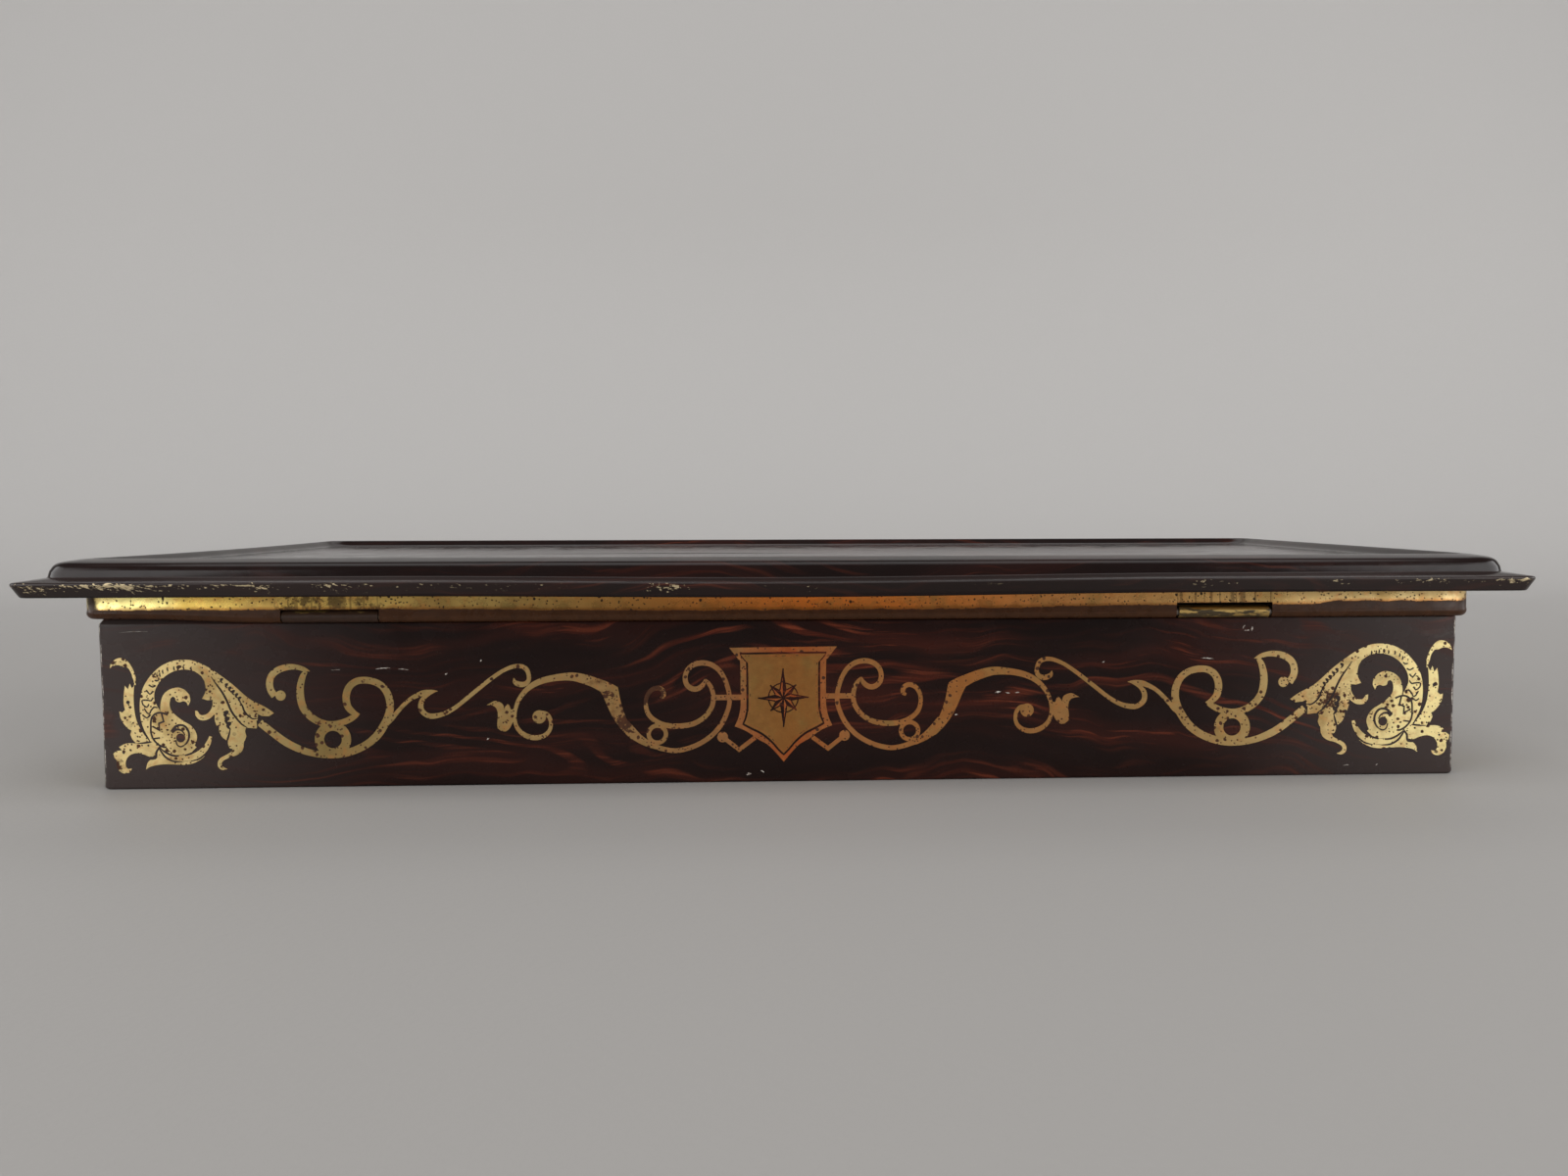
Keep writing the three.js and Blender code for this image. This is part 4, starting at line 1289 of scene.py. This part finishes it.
def scroll_end():
    """The outer part of one half: big scroll, ring, hook, and the dolphin with its leaves."""
    shapes = []
    for points in end_strokes.values():
        shapes += drawn("gold", points)
    shapes += [("gold", disc(*d)) for d in end_discs]
    for made in end_rings:
        shapes += [("gold", quad) for quad in ring(*made)]
    for runs in (tail_and_back, head, lower_lip, crest_leaf, front_leaf, top_curl):
        shapes.append(("gold", outlined(runs)))
    shapes.append(("gold", [Vector(p) for p in mouth]))
    for points in engraved:
        shapes += drawn("dark", [(x, z, width * engraved_wider) for x, z, width in points])
    for points in scales:
        shapes += drawn("dark", [(*p, scale_line) for p in points], 2)
    shapes += drawn("dark", [(*p, zigzag_line) for p in zigzag], curved=False)
    for along, up, size in commas:
        curve = [(along + x * size, up + z * size, width * size * engraved_wider) for x, z, width in comma]
        shapes += drawn("dark", curve)
    for along, up in back_ticks:
        shapes += drawn("dark", [(along + x, up + z, width) for x, z, width in tick], 2)
    return shapes + [("dark", disc(*hole)) for hole in holes]


def scroll_middle():
    """The inner part of one half, from the shield out to the big scroll."""
    shapes = []
    for name, points in middle_strokes.items():
        shapes += drawn("gold", points, curved=name != "bracket")
    shapes += [("gold", disc(*d)) for d in middle_discs]
    for made in middle_rings:
        shapes += [("gold", quad) for quad in ring(*made)]
    return shapes + [("gold", outlined(elbow)), ("gold", outlined(bud))]


# The figure on the shield is a plain compass star of sixteen facets, half of them left out as dark ground.
# Its points are given by their turn in degrees and their reach in mm.
star_middle, star_notch, star_line, star_ring = (0.0, 15.6), 1.6, 0.25, 2.75
half_facet, ring_turn, ring_points = 22.5, 12, 32
star_points = {45: 3.4, 135: 3.4, 225: 3.4, 315: 3.4, 0: 5.5, 90: 4.7, 180: 5.5, 270: 4.7}


def compass_star():
    """Eight points of two facets each, with a ring round their middle."""
    def at(radius, degrees):
        turn = math.radians(degrees)
        return Vector((star_middle[0] + radius * math.sin(turn), star_middle[1] + radius * math.cos(turn)))
    middle = at(0, 0)
    # The ring goes one step past its start, so that it closes.
    shapes = drawn("dark", [(*at(star_ring, ring_turn * i), star_line) for i in range(ring_points)], 1)
    for turn, reach in star_points.items():
        tip = at(reach, turn)
        before, after = at(star_notch, turn - half_facet), at(star_notch, turn + half_facet)
        shapes += [("gold", [middle, before, tip]), ("dark", [middle, tip, after])]
        for line in ((before, tip), (middle, tip)):
            shapes += drawn("dark", [(*p, star_line) for p in line])
    return shapes


def shield():
    """Gold edge, a dark line, a tan field with a pale line just inside it, and the star."""
    shapes = [("gold", whole_outline(shield_edge))]
    line = whole_outline(shield_line)
    shapes += drawn("dark", [(*p, shield_line_width) for p in line + line[:2]], 1)
    field = [p + (shield_middle - p).normalized() * field_inset for p in line]
    shapes.append(("field", field))
    rim = [p + (shield_middle - p).normalized() * (field_inset + pale_line_inset) for p in line]
    shapes += drawn("pale", [(*p, pale_line_width) for p in rim + rim[:2]], 1)
    return shapes + compass_star()


def lozenge():
    """The small piece in the middle of each end wall, joined by bars to the scrolls."""
    middle, hollow = 14.9, 0.55
    diamond = [Vector(p) for p in ((0, 10.9), (3.1, middle), (0, 18.9), (-3.1, middle))]
    inside = [Vector((p.x * hollow, middle + (p.y - middle) * hollow)) for p in diamond]
    shapes = drawn("gold", [(-6.0, middle, 0.9), (6.0, middle, 0.9)])
    return shapes + [("gold", diamond), ("dark", inside), ("gold", disc(0, middle, 0.75))]


def laid_over(shapes):
    """Lays shapes over one another, the later on top, and gives the triangles that show, with paint."""
    corners, pieces = [], []
    # Each column, one mm wide, lists the pieces that reach into it, so that few are tried for a triangle.
    columns = {}
    for paint, shape in shapes:
        for piece in geometry.tessellate_polygon([[p.to_3d() for p in shape]]):
            a, b, c = (shape[i] for i in piece)
            if abs((b - a).cross(c - a)) < least_area:
                continue
            for column in range(math.floor(min(a.x, b.x, c.x)), math.floor(max(a.x, b.x, c.x)) + 1):
                columns.setdefault(column, []).append((paint, a, b, c))
            pieces.append([len(corners) + i for i in piece])
        corners += shape
    edges = [(piece[i - 1], piece[i]) for piece in pieces for i in range(3)]
    points, _, triangles, *_ = geometry.delaunay_2d_cdt(corners, edges, [], 0, merge_within, False)
    shown = []
    for triangle in triangles:
        middle = sum((points[i] for i in triangle), Vector((0, 0))) / 3
        for paint, a, b, c in reversed(columns.get(math.floor(middle.x), [])):
            if geometry.intersect_point_tri_2d(middle, a, b, c):
                if paint != "dark":
                    shown.append((triangle, paint))
                break
    return points, shown


def on_wall(side, along, up, proud):
    """The place on a wall for a point of its print. Wall 0 is the hinge side, and they go anticlockwise."""
    long_wall = side % 2 == 0
    half = (body_length if long_wall else body_depth) / 2 - corner_radius
    out = (body_depth if long_wall else body_length) / 2
    turn = max(abs(along) - half, 0) / corner_radius
    x = math.copysign(min(abs(along), half) + corner_radius * math.sin(turn), along)
    quarter = Matrix.Rotation(side * math.pi / 2, 3, "Z")
    place = wave(*(quarter @ Vector((x, corner_radius * (1 - math.cos(turn)) - out, up))))
    normal = Matrix.Rotation(side * math.pi / 2 + math.copysign(turn, along), 3, "Z") @ Vector((0, -1, 0))
    return place + normal * proud


def worn_here(x, z, wear):
    """How worn the print is at this point, from a list of worn places: middle, reach and depth."""
    depths = (depth * max(1 - math.dist((x, z), (cx, cz)) / reach, 0) for cx, cz, reach, depth in wear)
    return max(depths, default=0)


def inked(name, side, flat_print, register, paints, proud=ink_proud, wear=(), sheet_from=0.0):
    """One closed thin body of ink on a wall, from a flat print in mm and the register that places it."""
    points, shown = flat_print
    used = sorted({i for triangle, _ in shown for i in triangle})
    place_of = {i: n for n, i in enumerate(used)}
    placed = [register(points[i].x, points[i].y) for i in used]
    top = [on_wall(side, x * mm, z * mm, proud) for x, z in placed]
    foot = [on_wall(side, x * mm, z * mm, ink_sunk) for x, z in placed]
    count = len(used)
    faces, which, open_edges = [], [], {}
    for triangle, paint in shown:
        corners = [place_of[i] for i in triangle]
        a, b, c = (Vector(placed[i]) for i in corners)
        if (b - a).cross(c - a) < 0:
            corners.reverse()
        faces += [tuple(corners), tuple(i + count for i in corners[::-1])]
        which += [list(paints).index(paint)] * 2
        # An edge that two triangles share drops out again. Those left are the rim of the ink.
        for start, end in zip(corners, corners[1:] + corners[:1]):
            if open_edges.pop((end, start), None) is None:
                open_edges[start, end] = which[-1]
    for (start, end), paint in open_edges.items():
        faces.append((start, start + count, end + count, end))
        which.append(paint)
    made = to_mesh(name, top + foot, faces, list(paints.values()), which)
    lay = [(x * mm + sheet_from, z * mm, worn_here(x, z, wear)) for x, z in placed]
    keep_lay(made, lay * 2)
    smooth(made, 50)
    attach(made, "box")
    return made


def gilt_ink(name, dullness=0.0, speckled=1.0):
    """Gold ink with a painted brassy reflection along the wall, full of fine dark specks, worn through where
    rubbed.
    """
    made, tree, shader = new_material(name, Coat_Weight=0.27, Coat_Roughness=0.2, Specular_IOR_Level=0.15)
    place, along, _, wear = printed(tree)
    # Painted reflection: the ink's gold changes its tone along the wall.
    gold = gilt_colour(tree, place, along, ink_sheen_tones)
    gold = mixed(tree, dullness, gold, ink_tan)
    dots = larger(tree, specks(tree, place, 1500, 0.28, 0.75), specks(tree, place, 640, 0.25, 1.0))
    rubbed = plus(tree, grain(tree, place, 800, 4, 0.7), times(tree, wear, 0.55))
    toned = plus(tree, grain(tree, place, 230, 4, 0.72), times(tree, wear, 0.35))
    gold = mixed(tree, between(tree, toned, 0.60, 0.82, 0.0, 0.8), gold, ink_toned)
    through = between(tree, rubbed, 0.74, 0.80)
    bare = larger(tree, times(tree, dots, speckled), through)
    gone = mixed(tree, grain(tree, place, 900, 2), ground_bare, ground_stained)
    tree.links.new(mixed(tree, bare, gold, gone), shader.inputs["Base Color"])
    tree.links.new(times(tree, minus(tree, 1.0, bare), 0.75), shader.inputs["Metallic"])
    gloss = between(tree, grain(tree, place, 700, 3), 0.3, 0.7, 0.30, 0.48)
    tree.links.new(gloss, shader.inputs["Roughness"])
    bump(tree, shader, minus(tree, grain(tree, place, 1600, 3), bare), 0.02 * mm)
    return made


def as_printed(along, up):
    """How the hinge side's print was laid: to the left, leaning, and growing a little to the right."""
    growth = print_scale / (1 - print_taper * along)
    return (print_drift + growth * along, print_rise + growth * (up + print_lean * along))


def centred(along, up):
    """The other prints and the scratches lie as they are drawn."""
    return (along, up)


# Painted reflection of the gold ink: its tones by mm from the middle of a wall, brightest at the ends.
ink_sheen_tones = {
    -130: (0.88, 0.70, 0.32), -110: (0.80, 0.61, 0.27), -98: (0.54, 0.40, 0.165), -86: (0.28, 0.19, 0.065),
    -60: (0.47, 0.32, 0.125), -35: (0.42, 0.25, 0.095), -14: (0.38, 0.175, 0.065), 0: (0.47, 0.10, 0.022),
    10: (0.44, 0.185, 0.06), 32: (0.43, 0.165, 0.042), 60: (0.39, 0.22, 0.08), 84: (0.47, 0.31, 0.12),
    101: (0.70, 0.51, 0.22), 113: (0.97, 0.80, 0.37), 130: (0.95, 0.78, 0.36),
}
ink_tan, ink_toned = (0.285, 0.165, 0.038), (0.16, 0.062, 0.018)
ground_bare, ground_stained = (0.012, 0.006, 0.004), (0.11, 0.038, 0.014)
print_drift, print_rise, print_lean = -2.06, 0.18, 0.00215
print_taper, print_scale = 1.7e-4, 0.9947
back_wear = [
    (-26.3, 16.4, 4.2, 1.1), (-34.2, 16.6, 3.2, 0.85), (-31, 11.5, 5.5, 0.75), (29, 13, 2.2, 0.5),
    (-115.2, 21, 2.6, 0.6), (-122, 4.5, 2.4, 0.8), (-122.3, 23, 1.0, 0.8), (100.5, 14.5, 4.2, 0.75),
    (106, 14.5, 2.6, 0.6), (119.6, 20.6, 1.4, 0.5),
]
gilt_paints = {
    "gold": gilt_ink("gilt_ink"),
    "field": gilt_ink("shield_ink", 0.62, 0.12),
    "pale": gilt_ink("pale_ink", 0.1),
}
long_print = laid_over(both_halves(scroll_middle() + scroll_end()) + shield())
end_print = laid_over(both_halves(shifted(scroll_end(), -66.5)) + lozenge())
# How far along the bent sheet the middle of an end is from the middle of its long side.
end_sheet = body_length / 2 + body_depth / 2
wall_prints = [
    ("hinge_side_print", long_print, as_printed, back_wear, 0.0),
    ("right_end_print", end_print, centred, [(50, 20, 3, 0.4)], end_sheet),
    ("front_print", long_print, centred, [(-20, 10, 5, 0.4), (96, 14, 4, 0.4)], 0.0),
    ("left_end_print", end_print, centred, [(-35, 8, 4, 0.4)], end_sheet),
]
for side, (name, flat_print, register, wear, sheet_from) in enumerate(wall_prints):
    ink = inked(name, side, flat_print, register, gilt_paints, wear=wear, sheet_from=sheet_from)

# Scratches: small places on the hinge side where the print has been knocked off and the tin shows, and
# painted highlights as broken pale strips along its upright edges. Each scratch is given by its place out
# from the middle and up, its length, its lean in degrees and its width.
scratch_proud, scratch_step = 0.012 * mm, 0.25
upright_from, upright_to = 1.2, 28.5
tin_and_glint_grey, knocked_brown = (0.60, 0.56, 0.50), (0.20, 0.15, 0.12)
scratches = [
    (-74.6, 21.7, 2.6, 4, 0.22), (-71, 21.5, 1.8, -6, 0.16), (-83, 21.5, 1.6, 3, 0.1),
    (-63.3, 20.6, 0.5, 30, 0.3), (-57, 23, 0.4, 80, 0.25), (-56, 8.6, 0.5, 20, 0.28),
    (-8.5, 1.5, 0.9, 10, 0.45), (-6.0, 2.0, 0.7, -20, 0.35), (84, 28.3, 0.7, 55, 0.35),
    (84.6, 27.6, 1.0, 5, 0.22), (85.6, 27.9, 0.9, 88, 0.3), (77.2, 22.4, 2.5, -3, 0.2),
    (37.8, 16.4, 1.2, 12, 0.3), (39.6, 16.2, 0.8, -10, 0.25), (41.4, 16.25, 0.8, 4, 0.22),
    (30, 12.2, 0.5, 15, 0.25), (104.1, 1.9, 1.1, 6, 0.14), (110, 1.9, 0.5, 40, 0.2),
    (-118.5, 28.6, 5.0, 2, 0.06), (57.5, 21.9, 0.4, 30, 0.2),
]
chance = random.Random(11)


def knocked_tin_and_edge_glint(name):
    """Tin where the print has been knocked off, part of it already brown, used also for the painted edge
    highlights.
    """
    made, tree, shader = new_material(name, Metallic=0.35, Roughness=0.5)
    place = printed(tree)[0]
    stained = between(tree, grain(tree, place, 1500, 3, 0.6), 0.42, 0.62)
    tree.links.new(mixed(tree, stained, tin_and_glint_grey, knocked_brown), shader.inputs["Base Color"])
    return made


def flake(along, up, length, lean, width):
    """A thin scratch, or a strip of painted edge highlight, with a ragged outline."""
    run = Vector((math.cos(math.radians(lean)), math.sin(math.radians(lean))))
    count = max(round(length / scratch_step), 3)
    points = []
    for i in range(count + 1):
        share = i / count
        thick = width * (0.25 + 0.75 * math.sin(math.pi * share)) * chance.uniform(0.5, 1.15)
        bow = 0.02 * length * math.sin(math.pi * share) + chance.uniform(-0.2, 0.2) * width
        middle = Vector((along, up)) + run * (share - 0.5) * length + run.orthogonal() * bow
        points.append((*middle, thick))
    return drawn("tin", points, 2)


marks = [quad for scratch in scratches for quad in flake(*scratch)]
# Painted highlights: broken pale strips of the same tin down both upright edges of the hinge side.
for side in (-1, 1):
    up = upright_from
    while up < upright_to:
        glint_length = chance.uniform(0.8, 4.5)
        out = side * chance.uniform(124.3, 124.6)
        marks += flake(out, up + glint_length / 2, glint_length, 90, chance.uniform(0.16, 0.34))
        up += glint_length + chance.uniform(0.1, 1.6)
paints = {"tin": knocked_tin_and_edge_glint("scratch_and_edge_glint_tin")}
scratches_and_glints = inked("hinge_side_scratches_and_edge_glints", 0, laid_over(marks), centred, paints, proud=scratch_proud)
